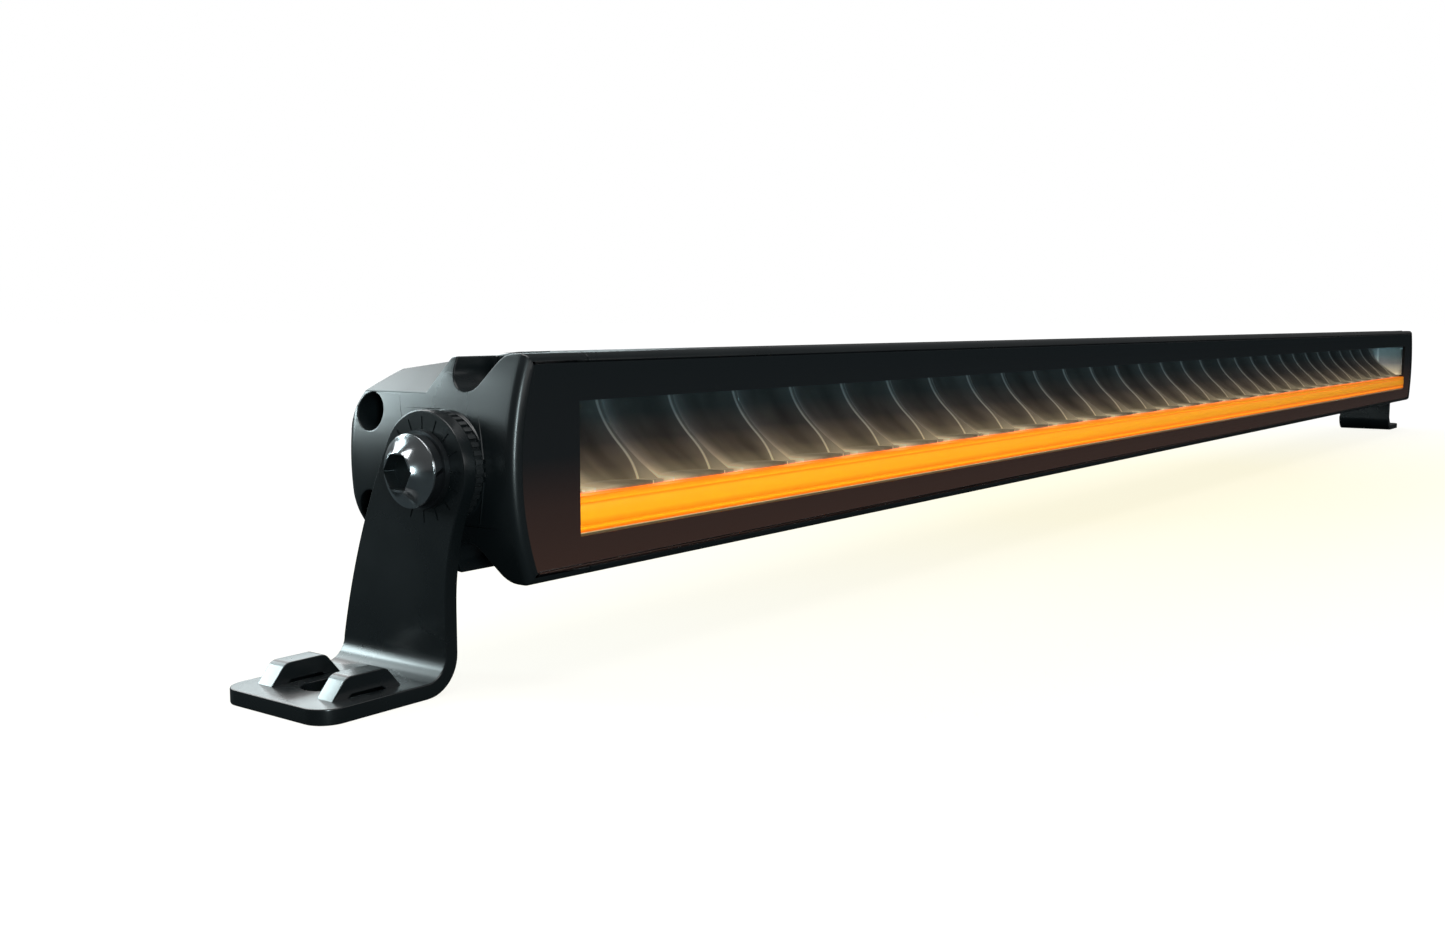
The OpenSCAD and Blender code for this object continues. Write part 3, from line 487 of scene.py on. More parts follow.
def painted_cell_shade(n, link, cell):
    """Painted light and shade across each reflector cell, with soft leaning painted streaks of light and shade."""
    across = calculate(n, link, "FRACT", cell)
    # Painted shade and highlight: bright just after the rib, dark towards the next one.
    painted_shade = grey_steps(n, link, across, [
        (0.0, 1.1), (0.09, 1.5), (0.26, 1.05), (0.5, 0.5), (0.8, 0.36), (1.0, 0.75)])
    coords = n.new("ShaderNodeTexCoord")
    lean = n.new("ShaderNodeMapping")
    lean.inputs["Scale"].default_value = (1.0, 0.3, 0.34)
    lean.inputs["Rotation"].default_value = (0, radians(-28), 0)
    link(coords.outputs["Object"], lean.inputs["Vector"])
    streak = n.new("ShaderNodeTexNoise")
    streak.inputs["Scale"].default_value = 170
    streak.inputs["Detail"].default_value = 1.5
    link(lean.outputs["Vector"], streak.inputs["Vector"])
    painted_streaks = calculate(n, link, "MULTIPLY_ADD", streak.outputs["Fac"], 0.5, -0.25)
    return calculate(n, link, "ADD", painted_shade, painted_streaks)


def painted_rib_highlights(n, link, cell, z):
    """A fine painted highlight line on each side of every rib, which flares at the reflector's floor, warm there
    and dimmer towards the top.
    """
    beside = calculate(n, link, "PINGPONG", cell, 0.5)
    low_down = remap(n, link, z, row_z(FLOOR_Z), row_z(FLOOR_Z + 9), 1.0, 0.0)
    flare = calculate(n, link, "POWER", low_down, 2.2)
    inward = calculate(n, link, "MULTIPLY_ADD", flare, -0.1, beside)
    painted_highlight_line = grey_steps(n, link, inward, [
        (0.0, 0.16), (0.024, 0.14), (0.031, 1.0), (0.039, 1.0), (0.046, 0.0)])
    # Painted highlight colour: warm and bright at the floor, dim towards the top.
    tone = ramp_along(n, link, "Z", row_z(FLOOR_Z), row_z(WINDOW_TOP), [
        (0.0, (0.85, 0.7, 0.42)), (0.3, (0.5, 0.46, 0.36)),
        (0.7, (0.15, 0.19, 0.2)), (1.0, (0.1, 0.14, 0.15))])
    return blend(n, link, "MULTIPLY", 1, painted_highlight_line, tone)


def reflector_metal_painted_light():
    """Metallised reflector with painted light: dark and cool at the top, a painted warm glow towards the bottom,
    painted light and shade across each cell and painted highlight lines at the ribs, all given off as light though
    the reflector is no lamp.
    """
    mat, n, link, shader = new_material("reflector_metal_painted_light")
    place = object_place(n, link)
    cell = calculate(n, link, "MULTIPLY_ADD", place["X"], 1 / (CELL_W * MM), 100 + CELLS / 2)
    # Painted light: dark and cool at the top, a painted warm glow towards the bottom.
    painted_lit_gradient = ramp_along(n, link, "Z", row_z(FLOOR_Z), row_z(WINDOW_TOP), [
        (0.0, (0.7, 0.54, 0.33)), (0.14, (0.36, 0.27, 0.185)), (0.4, (0.115, 0.1, 0.09)),
        (0.7, (0.045, 0.062, 0.067)), (1.0, (0.045, 0.07, 0.078))])
    shaded = blend(n, link, "MULTIPLY", 1, painted_lit_gradient, painted_cell_shade(n, link, cell))
    ribbed = blend(n, link, "ADD", 0.75, shaded, painted_rib_highlights(n, link, cell, place["Z"]))
    # The painted colour is also given off as light, though the reflector is no lamp.
    glowing(link, shader, ribbed, 0.45, 0.3)
    shader.inputs["Metallic"].default_value = 0.85
    return mat


def guide_glow():
    """Lit amber guide: yellow in the middle, orange in the grooves and at both edges."""
    mat, n, link, shader = new_material("amber_glow")
    low, high = span("light_guide", 2)
    yellow, orange = (1.0, 0.37, 0.01), (1.0, 0.21, 0.003)
    deep, pale = (0.9, 0.13, 0.001), (0.6, 0.45, 0.2)
    colour = ramp_along(n, link, "Z", row_z(low), row_z(high), [
        (0.0, pale), (0.03, pale), (0.05, deep), (0.1, orange), (0.16, yellow), (0.22, orange),
        (0.4, yellow), (0.74, yellow), (0.8, orange), (0.86, yellow), (1.0, orange)])
    glowing(link, shader, colour, 0.9, 0.25)
    return mat


def mask_ink_painted_glow():
    """Glossy black printed border with a painted warm glow towards the bottom; its colour is also given off as
    faint painted light, though the ink is no lamp.
    """
    mat, n, link, shader = new_material("mask_ink_painted_glow")
    # Painted warm glow towards the bottom, given off as light by the ink.
    colour = ramp_along(n, link, "Z", row_z(-LENS_HALF_H), row_z(LENS_HALF_H), [
        (0.0, (0.036, 0.021, 0.017)), (0.3, (0.026, 0.017, 0.015)),
        (0.55, (0.009, 0.0105, 0.0115)), (1.0, (0.0075, 0.0098, 0.0108))])
    glowing(link, shader, colour, 1.0, 0.35)
    return mat


def clear_lens():
    mat, n, link, shader = new_material("clear_lens")
    rough = remap(n, link, object_noise(n, link, 90), to_min=0.0, to_max=0.03)
    link(rough, shader.inputs["Roughness"])
    shader.inputs["Base Color"].default_value = (0.93, 0.95, 0.96, 1)
    shader.inputs["Transmission Weight"].default_value = 1
    shader.inputs["IOR"].default_value = 1.16
    return mat


def led_face(name, colour, strength):
    """Face of an LED, slightly uneven in colour."""
    mat, n, link, shader = new_material(name)
    dull = tuple(c * 0.8 for c in colour)
    tone = colour_steps(n, link, object_noise(n, link, 2200), [(0.0, dull), (1.0, colour)])
    glowing(link, shader, tone, strength, 0.35)
    return mat


STEEL = bright_steel()
# Darker, rougher steel for the socket faces: a rougher bottom with painted shade in the recess.
SOCKET_STEEL_SHADE = coated("socket_steel_painted_shade", (0.1, 0.115, 0.12), (0.2, 0.22, 0.23), 0.38, metallic=1.0)
# Reflector with painted light and shade, painted highlights and a painted glow.
PAINTED_LIGHT_REFLECTOR = reflector_metal_painted_light()
GLOW = guide_glow()
# Border ink with a painted warm glow.
PAINTED_GLOW_INK = mask_ink_painted_glow()
CLEAR = clear_lens()
WHITE_LED = led_face("led_phosphor", (0.85, 0.75, 0.2), 0.0)
AMBER_LED = led_face("amber_led", (1.0, 0.45, 0.05), 1.5)

# ---------------------------------------------------------------- lamp body


def body_outline():
    """Section of the lamp body, from the front bottom fillet round the back."""
    a = degrees(atan2(SLOPE_Z, sqrt(BACK_R ** 2 - SLOPE_Z ** 2)))
    return (arc((BEZEL_R, BEZEL_R - HALF_H), BEZEL_R, 180, 270, 6) + [(FLAT_TOP, -HALF_H)]
            + arc((BACK_Y, 0), BACK_R, -a, a, 40)
            + [(FLAT_TOP, HALF_H)] + arc((BEZEL_R, HALF_H - BEZEL_R), BEZEL_R, 90, 180, 6))


def back_at(z):
    """Depth of the rounded back at one height."""
    return BACK_Y + sqrt(BACK_R ** 2 - z * z)


def fin_side(z, inward):
    """Side of the fin whose face stands at z, from the rear wall out: a port's wall bulges on it."""
    port_y, port_z = PORT_REAR
    if abs(abs(z) - port_z) > FIN_T:
        return [(REAR_WALL_Y, z)]
    off = abs(z - (port_z if z > 0 else -port_z))
    reach = sqrt(PORT_WALL_R ** 2 - off ** 2)
    a = degrees(atan2(off, reach))
    bulge = arc((port_y, 0), PORT_WALL_R, 180 - a, a, 12)
    way = 1 if z > (port_z if z > 0 else -port_z) else -1
    side = [(REAR_WALL_Y, z)] + [(y, z - way * off + way * dz) for y, dz in bulge]
    return side if inward else side[::-1]


def finned_outline():
    """The extrusion's section: bezel rims, open cavity with its ledges, rear wall and fins."""
    rim = LENS_HALF_H + SEAM
    short = degrees(asin(max(0.0, (rim - HALF_H + BEZEL_R) / BEZEL_R)))
    points = arc((BEZEL_R, BEZEL_R - HALF_H), BEZEL_R, 180 + short, 270, 6) + [(FLAT_TOP, -HALF_H)]
    gap = FIN_PITCH - FIN_T
    z_from = -SLOPE_Z
    for i in range(-3, 3):
        low = (i + 0.5) * FIN_PITCH - gap / 2
        points += [(back_at(z_from + (low - z_from) * k / 4), z_from + (low - z_from) * k / 4)
                   for k in range(5)]
        points += fin_side(low, False) + fin_side(low + gap, True)
        z_from = low + gap
    points += [(back_at(z_from + (SLOPE_Z - z_from) * k / 4), z_from + (SLOPE_Z - z_from) * k / 4)
               for k in range(5)]
    points += [(FLAT_TOP, HALF_H)] + arc((BEZEL_R, HALF_H - BEZEL_R), BEZEL_R, 90, 180 - short, 6)
    points += [(LEDGE_Y, rim), (LEDGE_Y, SHELF_Z), (CAVITY_Y, SHELF_Z),
               (CAVITY_Y, DRIVER_FLOOR), (DRIVER_Y, DRIVER_FLOOR), (DRIVER_Y, CAVITY_FLOOR),
               (BOARD_LEDGE_Y, CAVITY_FLOOR), (BOARD_LEDGE_Y, -LEDGE_Z), (LEDGE_Y, -LEDGE_Z),
               (LEDGE_Y, -rim)]
    return points


def make_housing():
    """The extrusion, with a flat for the gland and one for the vent."""
    bm = prism(finned_outline(), "yz", -SEAM_X, SEAM_X)
    flats = [box_form((x - FITTING_FLAT, REAR_WALL_Y, -FLAT_HALF_H),
                      (x + FITTING_FLAT, DEPTH + 5, FLAT_HALF_H)) for x in (GLAND_X, VENT_X)]
    bm = boolean(bm, "DIFFERENCE", *flats)
    split_flats(bm, 1e-4, ("z", 0), ("y", CAVITY_Y), ("y", BOARD_LEDGE_Y))
    bmesh.ops.remove_doubles(bm, verts=bm.verts, dist=0.03)
    soften(bm, 0.3, angle=35, clamp=False)
    piece("housing", bm, HOUSING, "lamp", "housing", "housing_extrusion", smooth=25)


def lens_outline(grow=0.0):
    """Front outline of the lens: straight top and bottom, bowed ends."""
    h = LENS_HALF_H + grow
    r = LENS_BOW_R + grow
    a = degrees(atan2(h, sqrt(r * r - h * h)))
    return arc((BOW_X, 0), r, -a, a, 20) + arc((-BOW_X, 0), r, 180 - a, 180 + a, 20)


def bowed_solid():
    """The turned solid that bows the end, filleted in front and rounded behind."""
    front = [(END_BOW_R - BEZEL_R + BEZEL_R * sin(radians(9 * k)),
              BEZEL_R - BEZEL_R * cos(radians(9 * k))) for k in range(11)]
    rear = [(END_BOW_R - CAP_ROUND + CAP_ROUND * cos(radians(9 * k)),
             DEPTH - CAP_ROUND + CAP_ROUND * sin(radians(9 * k))) for k in range(11)]
    bow = turned([(0, 0)] + front + rear + [(0, DEPTH)], steps=288, to_x=False)
    bmesh.ops.rotate(bow, cent=(0, 0, 0), matrix=Matrix.Rotation(-pi / 2, 3, "X"), verts=bow.verts)
    bmesh.ops.translate(bow, vec=(BOW_X, 0, 0), verts=bow.verts)
    return bow


def front_recess():
    """Recess of a front cap screw: round bottom, upright rear wall, front wall leaning forward."""
    (y, z), r, top = SCALLOP_FRONT, SCALLOP_R, HALF_H + 1
    touch = -90 - SCALLOP_LEAN
    low = (y + r * cos(radians(touch)), z + r * sin(radians(touch)))
    corner, shoulder = low[0] - (HALF_H - low[1]) / tan(radians(SCALLOP_LEAN)), 7.0
    edge = corner - shoulder * tan(radians(SCALLOP_LEAN / 2))
    crest = arc((edge, HALF_H - shoulder), shoulder, 90 - SCALLOP_LEAN, 90, 10)
    outline = [(y + r, top)] + arc((y, z), r, 0, touch, 24) + crest + [(edge, top)]
    return prism(outline, "yz", SCALLOP_X, HALF_LEN + 2)


def side_facet():
    """What is cut away between the side face and the top, behind the front recess."""
    wedge = box_form((0, 0, -60), (100, 100, 100))
    bmesh.ops.rotate(wedge, cent=(0, 0, 0), matrix=Matrix.Rotation(radians(-CHAMFER_LEAN), 3, "Y"),
                     verts=wedge.verts)
    bmesh.ops.translate(wedge, vec=(HALF_LEN - CHAMFER_OUT, 0, CHAMFER_LOW_Z), verts=wedge.verts)
    rise = 60
    rake = [(CHAMFER_START, CHAMFER_LOW_Z - 1), (CHAMFER_START, CHAMFER_LOW_Z),
            (CHAMFER_START - rise * tan(radians(CHAMFER_RAKE)), CHAMFER_LOW_Z + rise),
            (90, CHAMFER_LOW_Z + rise), (90, CHAMFER_LOW_Z - 1)]
    return boolean(wedge, "INTERSECT", prism(rake, "yz", SEAM_X, HALF_LEN + 3))


def make_end_cap(side):
    """Bowed cap: the body's section kept inside a turned solid, with recesses cut from it."""
    cap = boolean(prism(body_outline(), "yz", CAP_X, HALF_LEN + 1), "INTERSECT", bowed_solid())
    guide_low, guide_high = span("light_guide", 2)
    cuts = [prism(lens_outline(SEAM), "xz", -1, LEDGE_Y),
            box_form((CAP_X - 1, LEDGE_Y - 1, -20.8), (SEAM_X + 6.5, CAVITY_Y, SHELF_Z)),
            box_form((CAP_X - 1, LEDGE_Y - 1, -21.4), (SEAM_X + 6.5, 15.5, SHELF_Z)),
            box_form((CAP_X, LEDGE_Y - 1, guide_low - 0.3), (SEAM_X + 12.7, 10.8, guide_high + 0.3)),
            both_z(front_recess()), both_z(side_facet()),
            both_z(rod("x", SCALLOP_X, HALF_LEN + 2, REAR_SCALLOP_R, PORT_REAR, 64))]
    cap = boolean(cap, "DIFFERENCE", *cuts)
    seat = rod("x", HALF_LEN - 4, HALF_LEN, 14.5, (PIVOT_Y, 0), 96)
    cap = boolean(cap, "UNION", seat)
    hole = rod("x", SEAM_X + 13.4, HALF_LEN + 2, 5.05, (PIVOT_Y, 0), 48)
    cap = boolean(cap, "DIFFERENCE", hole)
    bmesh.ops.remove_doubles(cap, verts=cap.verts, dist=0.04)
    split_flats(cap, 0.001, ("y", LEDGE_Y), ("y", CAVITY_Y), ("z", 0))
    soften(cap, 0.4, angle=28, clamp=False)
    if side < 0:
        flipped(cap)
    word = "left" if side < 0 else "right"
    piece(word + "_cap", cap, HOUSING, "lamp", "housing", word + "_end_cap", smooth=28)


def make_lens():
    bm = prism(lens_outline(), "xz", 0, LENS_T)
    soften(bm, 0.35, angle=40)
    piece("front_lens", bm, CLEAR, "lamp", "lens", "lens")


def make_mask():
    """Printed border: bands above and below the window and a bowed field at each end."""
    low, high = span("lens_mask", 1)
    h, r = LENS_HALF_H - 0.25, LENS_BOW_R - 0.25
    a = degrees(atan2(h, sqrt(r * r - h * h)))
    bottom = WINDOW_BOTTOM - 1  # the guide hides the rest
    end = [(WINDOW_HALF, -h)] + arc((BOW_X, 0), r, -a, a, 32) + [(WINDOW_HALF, h)]
    fields = [prism(end, "xz", low, high), flipped(prism(end, "xz", low, high)),
              box_form((-WINDOW_HALF, low, WINDOW_TOP), (WINDOW_HALF, high, h)),
              box_form((-WINDOW_HALF, low, -h), (WINDOW_HALF, high, bottom))]
    piece("window_border", join(*fields), PAINTED_GLOW_INK, "lamp", "mask", "lens_mask")


# ---------------------------------------------------------------- optics


def dish(dx, dz):
    """Depth of a parabolic cell beside and below its focus."""
    return VERTEX_Y - (dx * dx + dz * dz) / (4 * FOCAL)


def make_reflector(index, word):
    """A sheet of ten dishes that meet at ribs, with a floor in front, then given its wall."""
    x0 = (index - 0.5) * MODULE_W
    reach = CELL_W / 2 - RIB_W / 2
    gap, crest, floor_front = 0.02, -0.25, 6.0
    inner, rows = 14, 22
    columns = []
    for c in range(CELLS):
        mid = x0 + (c + 0.5) * CELL_W
        columns += [(mid - CELL_W / 2 + gap, reach, crest)]
        columns += [(mid + reach * (2 * k / inner - 1), abs(reach * (2 * k / inner - 1)), 0.0)
                    for k in range(inner + 1)]
    columns.append((x0 + MODULE_W - gap, reach, crest))
    bm = bmesh.new()
    bmesh.ops.create_grid(bm, x_segments=len(columns) - 1, y_segments=rows + 1, size=0.5)
    bm.verts.ensure_lookup_table()
    for v in bm.verts:
        i = round((v.co.x + 0.5) * (len(columns) - 1))
        j = round((v.co.y + 0.5) * (rows + 1))
        x, dx, lift = columns[i]
        if j == 0:
            v.co = (x, floor_front, FLOOR_Z)
        else:
            z = FLOOR_Z + (SHELL_TOP - FLOOR_Z) * (j - 1) / rows
            v.co = (x, dish(dx, z - AXIS_Z) + lift, z)
    bmesh.ops.recalc_face_normals(bm, faces=bm.faces)
    middle = max(bm.faces, key=lambda f: f.calc_center_median().y)
    if middle.normal.y > 0:
        bmesh.ops.reverse_faces(bm, faces=bm.faces)
    obj = piece(word + "_dishes", bm, PAINTED_LIGHT_REFLECTOR, "lamp", "reflector", word + "_reflector", smooth=20)
    wall = obj.modifiers.new("wall", "SOLIDIFY")
    wall.thickness = 1.0 * MM
    wall.offset = -1


def make_light_guide():
    """Fluted amber bar with round ends."""
    low, high = span("light_guide", 2)
    front, back = span("light_guide", 1)
    h = high - low
    main_low, main_high = 0.25, 0.78
    profile = [(back, low), (front + 0.6, low)]
    profile += arc((front + 0.6, low + 0.6), 0.6, -90, -180, 4)
    profile += [(front, low + 0.12 * h), (front + 0.5, low + 0.15 * h)]
    profile += [(front + 0.5 - 0.45 * sin(pi * k / 6), low + (0.15 + 0.07 * k / 6) * h)
                for k in range(1, 6)]
    profile += [(front + 0.5, low + 0.22 * h)]
    profile += [(front + 0.45 - 0.45 * sin(pi * k / 12),
                 low + (main_low + (main_high - main_low) * k / 12) * h) for k in range(13)]
    profile += [(front + 0.55, low + 0.8 * h), (front, low + 0.84 * h)]
    profile += arc((front + 0.6, high - 0.6), 0.6, 180, 90, 4)
    profile += [(back, high)]
    half = span("light_guide", 0)[1]
    bm = prism(profile, "yz", -half, half)
    r = h / 2
    stadium = arc((half - r, low + r), r, -90, 90, 20) + arc((-half + r, low + r), r, 90, 270, 20)
    bm = boolean(bm, "INTERSECT", prism(stadium, "xz", front - 1, back + 1))
    piece("amber_guide", bm, GLOW, "lamp", "light_guide", "light_guide", smooth=50)


# ---------------------------------------------------------------- brackets


def upright_outline():
    """Side view of a bracket: round head, waisted front edge, flared rear edge."""
    head_r, waist_z = 15.0, -35
    bend_top = SOLE_Z + 10
    gap = PIVOT_Y - FOOT_Y0
    waist_r = (gap ** 2 + waist_z ** 2 - head_r ** 2) / (2 * (head_r - gap))
    waist = (FOOT_Y0 - waist_r, waist_z)
    head = (PIVOT_Y, 0)
    a0 = heading(waist, head)
    flare_at, flare_r = 28, 200
    flare_top = (PIVOT_Y + head_r * cos(radians(flare_at)), head_r * sin(radians(flare_at)))
    flare_low = (FOOT_Y1, bend_top)
    c = arc_centre(flare_top, flare_low, flare_r)
    return ([(FOOT_Y0, SOLE_Z - 1)] + arc(waist, waist_r, 0, a0, 16)
            + arc(head, head_r, 180 + a0, flare_at, 48)[1:-1]
            + arc(c, flare_r, heading(c, flare_top), heading(c, flare_low), 20)
            + [(FOOT_Y1, SOLE_Z - 1)])


def raised_strip(x, y):
    """Strip of the foot pushed up as a bridge, with a thin slit left under it."""
    high, r = FOOT_TOP + STRIP_RISE, 3.0
    fall = degrees(atan2(STRIP_RISE, STRIP_HALF - STRIP_FLAT))
    tip = r * tan(radians(fall / 2))
    under = STRIP_FLAT - 1.4
    outline = ([(-STRIP_HALF, SOLE_Z), (-STRIP_HALF, FOOT_TOP)]
               + arc((tip - STRIP_FLAT, high - r), r, 90 + fall, 90, 10)
               + arc((STRIP_FLAT - tip, high - r), r, 90, 90 - fall, 10)
               + [(STRIP_HALF, FOOT_TOP), (STRIP_HALF, SOLE_Z),
                  (under, FOOT_TOP + STRIP_SLIT), (-under, FOOT_TOP + STRIP_SLIT)])
    bar = prism([(x + u, z) for u, z in outline], "xz", y - STRIP_W / 2, y + STRIP_W / 2)
    return soften(bar, 0.3, angle=50)


def angle_marks():
    """Sixteen shallow grooves round the pivot, on the outer face."""
    face, depth, half_w = PLATE_IN + PLATE, 0.3, 0.24
    marks = []
    for i in range(16):
        mark = box_form((face - depth, 10.0, -half_w), (face + 1, 13.4, half_w))
        turn = Matrix.Rotation(i * pi / 8, 3, "X")
        bmesh.ops.rotate(mark, cent=(0, 0, 0), matrix=turn, verts=mark.verts)
        bmesh.ops.translate(mark, vec=(0, PIVOT_Y, 0), verts=mark.verts)
        marks.append(mark)
    return join(*marks)


def make_bracket(side):
    """L bracket: a bent strip kept inside its side outline, with slot, strips and pivot hole."""
    outer, inner = 10.0, 6.0
    top, corner = 16, 6.5
    section = ([(PLATE_IN + PLATE, top), (PLATE_IN, top)]
               + arc((PLATE_IN + outer, SOLE_Z + outer), outer, 180, 270, 12)
               + [(FOOT_OUT, SOLE_Z), (FOOT_OUT, FOOT_TOP)]
               + arc((PLATE_IN + outer, SOLE_Z + outer), inner, 270, 180, 12))
    strip = prism(section, "xz", FOOT_Y0 - 12, FOOT_Y1 + 5)
    bm = boolean(strip, "INTERSECT", prism(upright_outline(), "yz", PLATE_IN - 5, FOOT_OUT + 5))
    plan = ([(PLATE_IN - 5, FOOT_Y0 - 20), (PLATE_IN + 6, FOOT_Y0 - 20), (PLATE_IN + 6, FOOT_Y0)]
            + arc((FOOT_OUT - corner, FOOT_Y0 + corner), corner, -90, 0, 10)
            + arc((FOOT_OUT - corner, FOOT_Y1 - corner), corner, 0, 90, 10)
            + [(PLATE_IN + 6, FOOT_Y1), (PLATE_IN + 6, FOOT_Y1 + 20), (PLATE_IN - 5, FOOT_Y1 + 20)])
    bm = boolean(bm, "INTERSECT", prism(plan, "xy", SOLE_Z - 5, 20))
    slot_x = FOOT_OUT - 17.6
    mid_y = (FOOT_Y0 + FOOT_Y1) / 2
    slot = (arc((slot_x + SLOT_REACH, mid_y), SLOT_R, -90, 90, 16)
            + arc((slot_x - SLOT_REACH, mid_y), SLOT_R, 90, 270, 16))
    windows = [box_form((slot_x - STRIP_HALF, mid_y + s * STRIP_OFF - STRIP_W / 2, SOLE_Z - 1),
                        (slot_x + STRIP_HALF, mid_y + s * STRIP_OFF + STRIP_W / 2, FOOT_TOP + 1))
               for s in (-1, 1)]
    bore = rod("x", PLATE_IN - 1, PLATE_IN + PLATE + 1, BORE_R, (PIVOT_Y, 0))
    bm = boolean(bm, "DIFFERENCE", prism(slot, "xy", SOLE_Z - 1, FOOT_TOP + 1), bore)
    bmesh.ops.remove_doubles(bm, verts=bm.verts, dist=0.04)
    soften(bm, 0.4, angle=40, clamp=False)
    bm = boolean(bm, "DIFFERENCE", *windows, angle_marks())
    bars = [raised_strip(slot_x, mid_y + s * STRIP_OFF) for s in (-1, 1)]
    bm = join(bm, *bars)
    if side < 0:
        flipped(bm)
    word = "left" if side < 0 else "right"
    piece(word + "_foot_bracket", bm, BRACKET, "mount", "bracket", word + "_bracket", smooth=30)


def make_bolt(side):
    """Domed head with a hexagon socket, on a plain shank."""
    low, high = span("right_pivot_bolt", 0)
    head_h, head_r, rim, flat_r = 4.6, 9.3, 0.9, 4.9
    seat = high - head_h
    dome_r = 1.15 * head_r
    shank_r, socket_half = 5, 4.4
    c = arc_centre((head_r, rim), (flat_r, head_h), dome_r)
    dome = arc(c, dome_r, heading(c, (head_r, rim)), heading(c, (flat_r, head_h)), 14)
    profile = ([(0, low - seat), (4.4, low - seat), (shank_r, low - seat + 0.7), (shank_r, 0),
                (head_r - 0.25, 0), (head_r, 0.25)] + dome + [(0, head_h)])
    bm = turned(profile, steps=96)
    bmesh.ops.translate(bm, vec=(seat, PIVOT_Y, 0), verts=bm.verts)
    hexagon = rod("x", seat + head_h * 0.25, seat + head_h + 2, socket_half / cos(radians(30)),
                  (PIVOT_Y, 0), 6)
    bm = boolean(bm, "DIFFERENCE", hexagon)
    soften(bm, 0.08, angle=50)
    # Faces inside the socket take the darker, rougher steel: partly a rougher bottom, partly painted shade in the
    # recess.
    for face in bm.faces:
        x, y, z = face.calc_center_median()
        in_socket = seat + 1 < x < seat + head_h - 0.1 and (y - PIVOT_Y) ** 2 + z * z < 22
        face.material_index = int(in_socket)
    if side < 0:
        flipped(bm)
    word = "left" if side < 0 else "right"
    bolt = piece(word + "_tilt_bolt", bm, STEEL, "lamp", "bolt", word + "_pivot_bolt", smooth=30)
    bolt.data.materials.append(SOCKET_STEEL_SHADE)


for place in (-1, 1):
    make_end_cap(place)
    make_bracket(place)
    make_bolt(place)
make_housing()
make_lens()
make_mask()
for number, label in ((-1, "left"), (0, "centre"), (1, "right")):
    make_reflector(number, label)
make_light_guide()

# ---------------------------------------------------------------- carried CAD nodes

SLOT_MATERIALS = {
    "housing": HOUSING, "gasket": RUBBER, "cap_screw": SCREW_BLACK, "lens": CLEAR, "mask": PAINTED_GLOW_INK,
    "reflector": PAINTED_LIGHT_REFLECTOR, "zinc": ZINC, "white_board": WHITE_BOARD, "thermal_pad": PAD,
    "led": WHITE_LED, "amber_led": AMBER_LED, "light_guide": GLOW, "carrier": CARRIER,
    "green_board": GREEN_BOARD, "driver_parts": PARTS, "gland": NYLON, "bracket": BRACKET,
    "bolt": STEEL, "washer": WASHER, "ring": RING,
}
for entry in frame["record"]["subparts"]:
    mesh = frame["nodes"][entry["node"]].data
    mesh.materials.clear()
    mesh.materials.append(SLOT_MATERIALS[entry["material_slot"]])

# ---------------------------------------------------------------- floor, light and camera


def make_floor():
    """A wide pale floor that grows even and white away from the lamp, with a painted pale-yellow pool of glow near
    the lamp, and dark to every ray but the camera's.
    """
    bm = bmesh.new()
    bmesh.ops.create_grid(bm, x_segments=1, y_segments=1, size=40)
    mesh = bpy.data.meshes.new("floor")
    bm.to_mesh(mesh)
    bm.free()
    floor = bpy.data.objects.new("floor", mesh)
    bpy.context.scene.collection.objects.link(floor)
    mat, n, link, shader = new_material("floor_white")
    shader.inputs["Base Color"].default_value = (0.93, 0.93, 0.93, 1)
    shader.inputs["Roughness"].default_value = 0.9
    shader.inputs["Specular IOR Level"].default_value = 0.0
    coords = n.new("ShaderNodeTexCoord")
    stretch = n.new("ShaderNodeMapping")
    stretch.inputs["Scale"].default_value = (0.8, 1.6, 1.0)
    link(coords.outputs["Object"], stretch.inputs["Vector"])
    away = n.new("ShaderNodeVectorMath")
    away.operation = "LENGTH"
    link(stretch.outputs["Vector"], away.inputs[0])
    fade = n.new("ShaderNodeMapRange")
    fade.interpolation_type = "SMOOTHSTEP"
    fade.inputs["From Min"].default_value = 0.55
    fade.inputs["From Max"].default_value = 1.3
    fade.inputs["To Min"].default_value = 0.86
    link(away.outputs["Value"], fade.inputs["Value"])
    white = n.new("ShaderNodeEmission")
    # Painted pale-yellow pool of glow on the floor near the lamp.
    painted_glow_tint = colour_steps(n, link, away.outputs["Value"], [
        (0.12, (1.0, 0.95, 0.74)), (0.36, (1.0, 0.985, 0.9)), (0.55, (1.0, 1.0, 1.0))])
    link(painted_glow_tint, white.inputs["Color"])
    white.inputs["Strength"].default_value = 1.06
    far = n.new("ShaderNodeMixShader")
    link(fade.outputs["Result"], far.inputs[0])
    link(shader.outputs["BSDF"], far.inputs[1])
    link(white.outputs["Emission"], far.inputs[2])
    path = n.new("ShaderNodeLightPath")
    dark = n.new("ShaderNodeBsdfDiffuse")
    dark.inputs["Color"].default_value = (0.03, 0.035, 0.037, 1)
    choose = n.new("ShaderNodeMixShader")
    link(path.outputs["Is Camera Ray"], choose.inputs[0])
    link(dark.outputs["BSDF"], choose.inputs[1])
    link(far.outputs["Shader"], choose.inputs[2])
    link(choose.outputs["Shader"], n["Material Output"].inputs["Surface"])
    mesh.materials.append(mat)


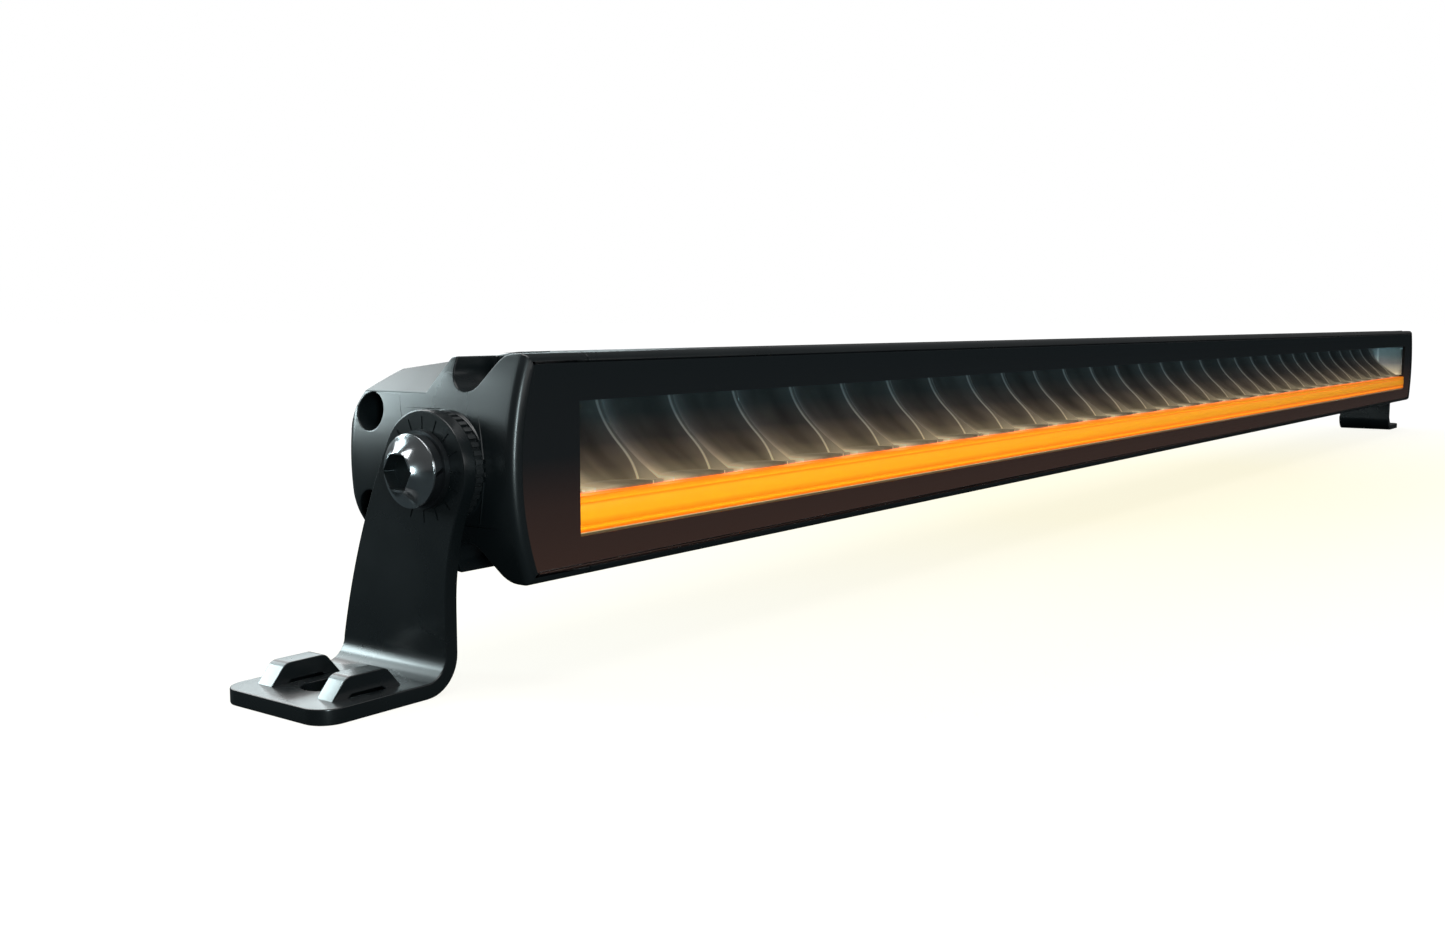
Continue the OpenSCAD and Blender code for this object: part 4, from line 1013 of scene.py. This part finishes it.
def soft_light(name, place, target, size, power, colour=(1, 1, 1)):
    """A rectangular light that the camera doesn't see."""
    data = bpy.data.lights.new(name, "AREA")
    data.shape = "RECTANGLE"
    data.size, data.size_y = size
    data.energy = power
    data.color = colour
    lamp = bpy.data.objects.new(name, data)
    bpy.context.scene.collection.objects.link(lamp)
    lamp.location = place
    aim = Vector(target) - Vector(place)
    lamp.rotation_euler = aim.to_track_quat("-Z", "Y").to_euler()
    lamp.visible_camera = False


def make_world():
    """White behind the lamp, and dim for what the lamp mirrors."""
    world = bpy.data.worlds.new("studio")
    world.use_nodes = True
    n, link = world.node_tree.nodes, world.node_tree.links.new
    back = n["Background"]
    back.inputs["Color"].default_value = (1, 1, 1, 1)
    path = n.new("ShaderNodeLightPath")
    strength = remap(n, link, path.outputs["Is Camera Ray"], to_min=0.09, to_max=1.0)
    link(strength, back.inputs["Strength"])
    bpy.context.scene.world = world


def make_camera():
    """Close to the left end, a little above the bar, looking along it."""
    data = bpy.data.cameras.new("camera")
    data.lens = 35
    data.sensor_width = 36
    camera = bpy.data.objects.new("camera", data)
    bpy.context.scene.collection.objects.link(camera)
    camera.location = LAMP @ Vector((-776.6, -244.8, 36.87))
    look = Vector((0.7976, 0.5942, -0.1036))
    camera.rotation_euler = look.to_track_quat("-Z", "Y").to_euler()
    bpy.context.scene.camera = camera


make_floor()
bpy.context.scene.view_settings.view_transform = "Standard"
COOL = (0.8, 0.97, 1.0)
soft_light("top_softbox", (-0.6, -0.1, 2.4), (-0.4, 0, 0), (2.4, 2.0), 62)
soft_light("rear_card", (-0.65, 1.7, 1.25), (-0.5, 0, 0.08), (1.1, 0.7), 12, COOL)
soft_light("low_card", (1.0, 1.9, 0.66), (-0.55, 0, 0), (1.2, 0.3), 3.6, COOL)
soft_light("side_glow", (-0.67, 0.26, 0.14), (-0.53, 0.06, 0.06), (0.06, 0.12), 0.6, COOL)
soft_light("edge_strip", (-1.12, -0.9, 0.16), (-0.52, 0, 0.06), (0.12, 0.5), 6.0, COOL)
soft_light("back_fill", (0.5, 2.6, 1.5), (0.1, 0, 0.05), (2.6, 1.2), 26)
soft_light("front_fill", (0.2, -2.4, 0.8), (0, 0, 0.05), (3.4, 0.8), 10)
make_world()
make_camera()
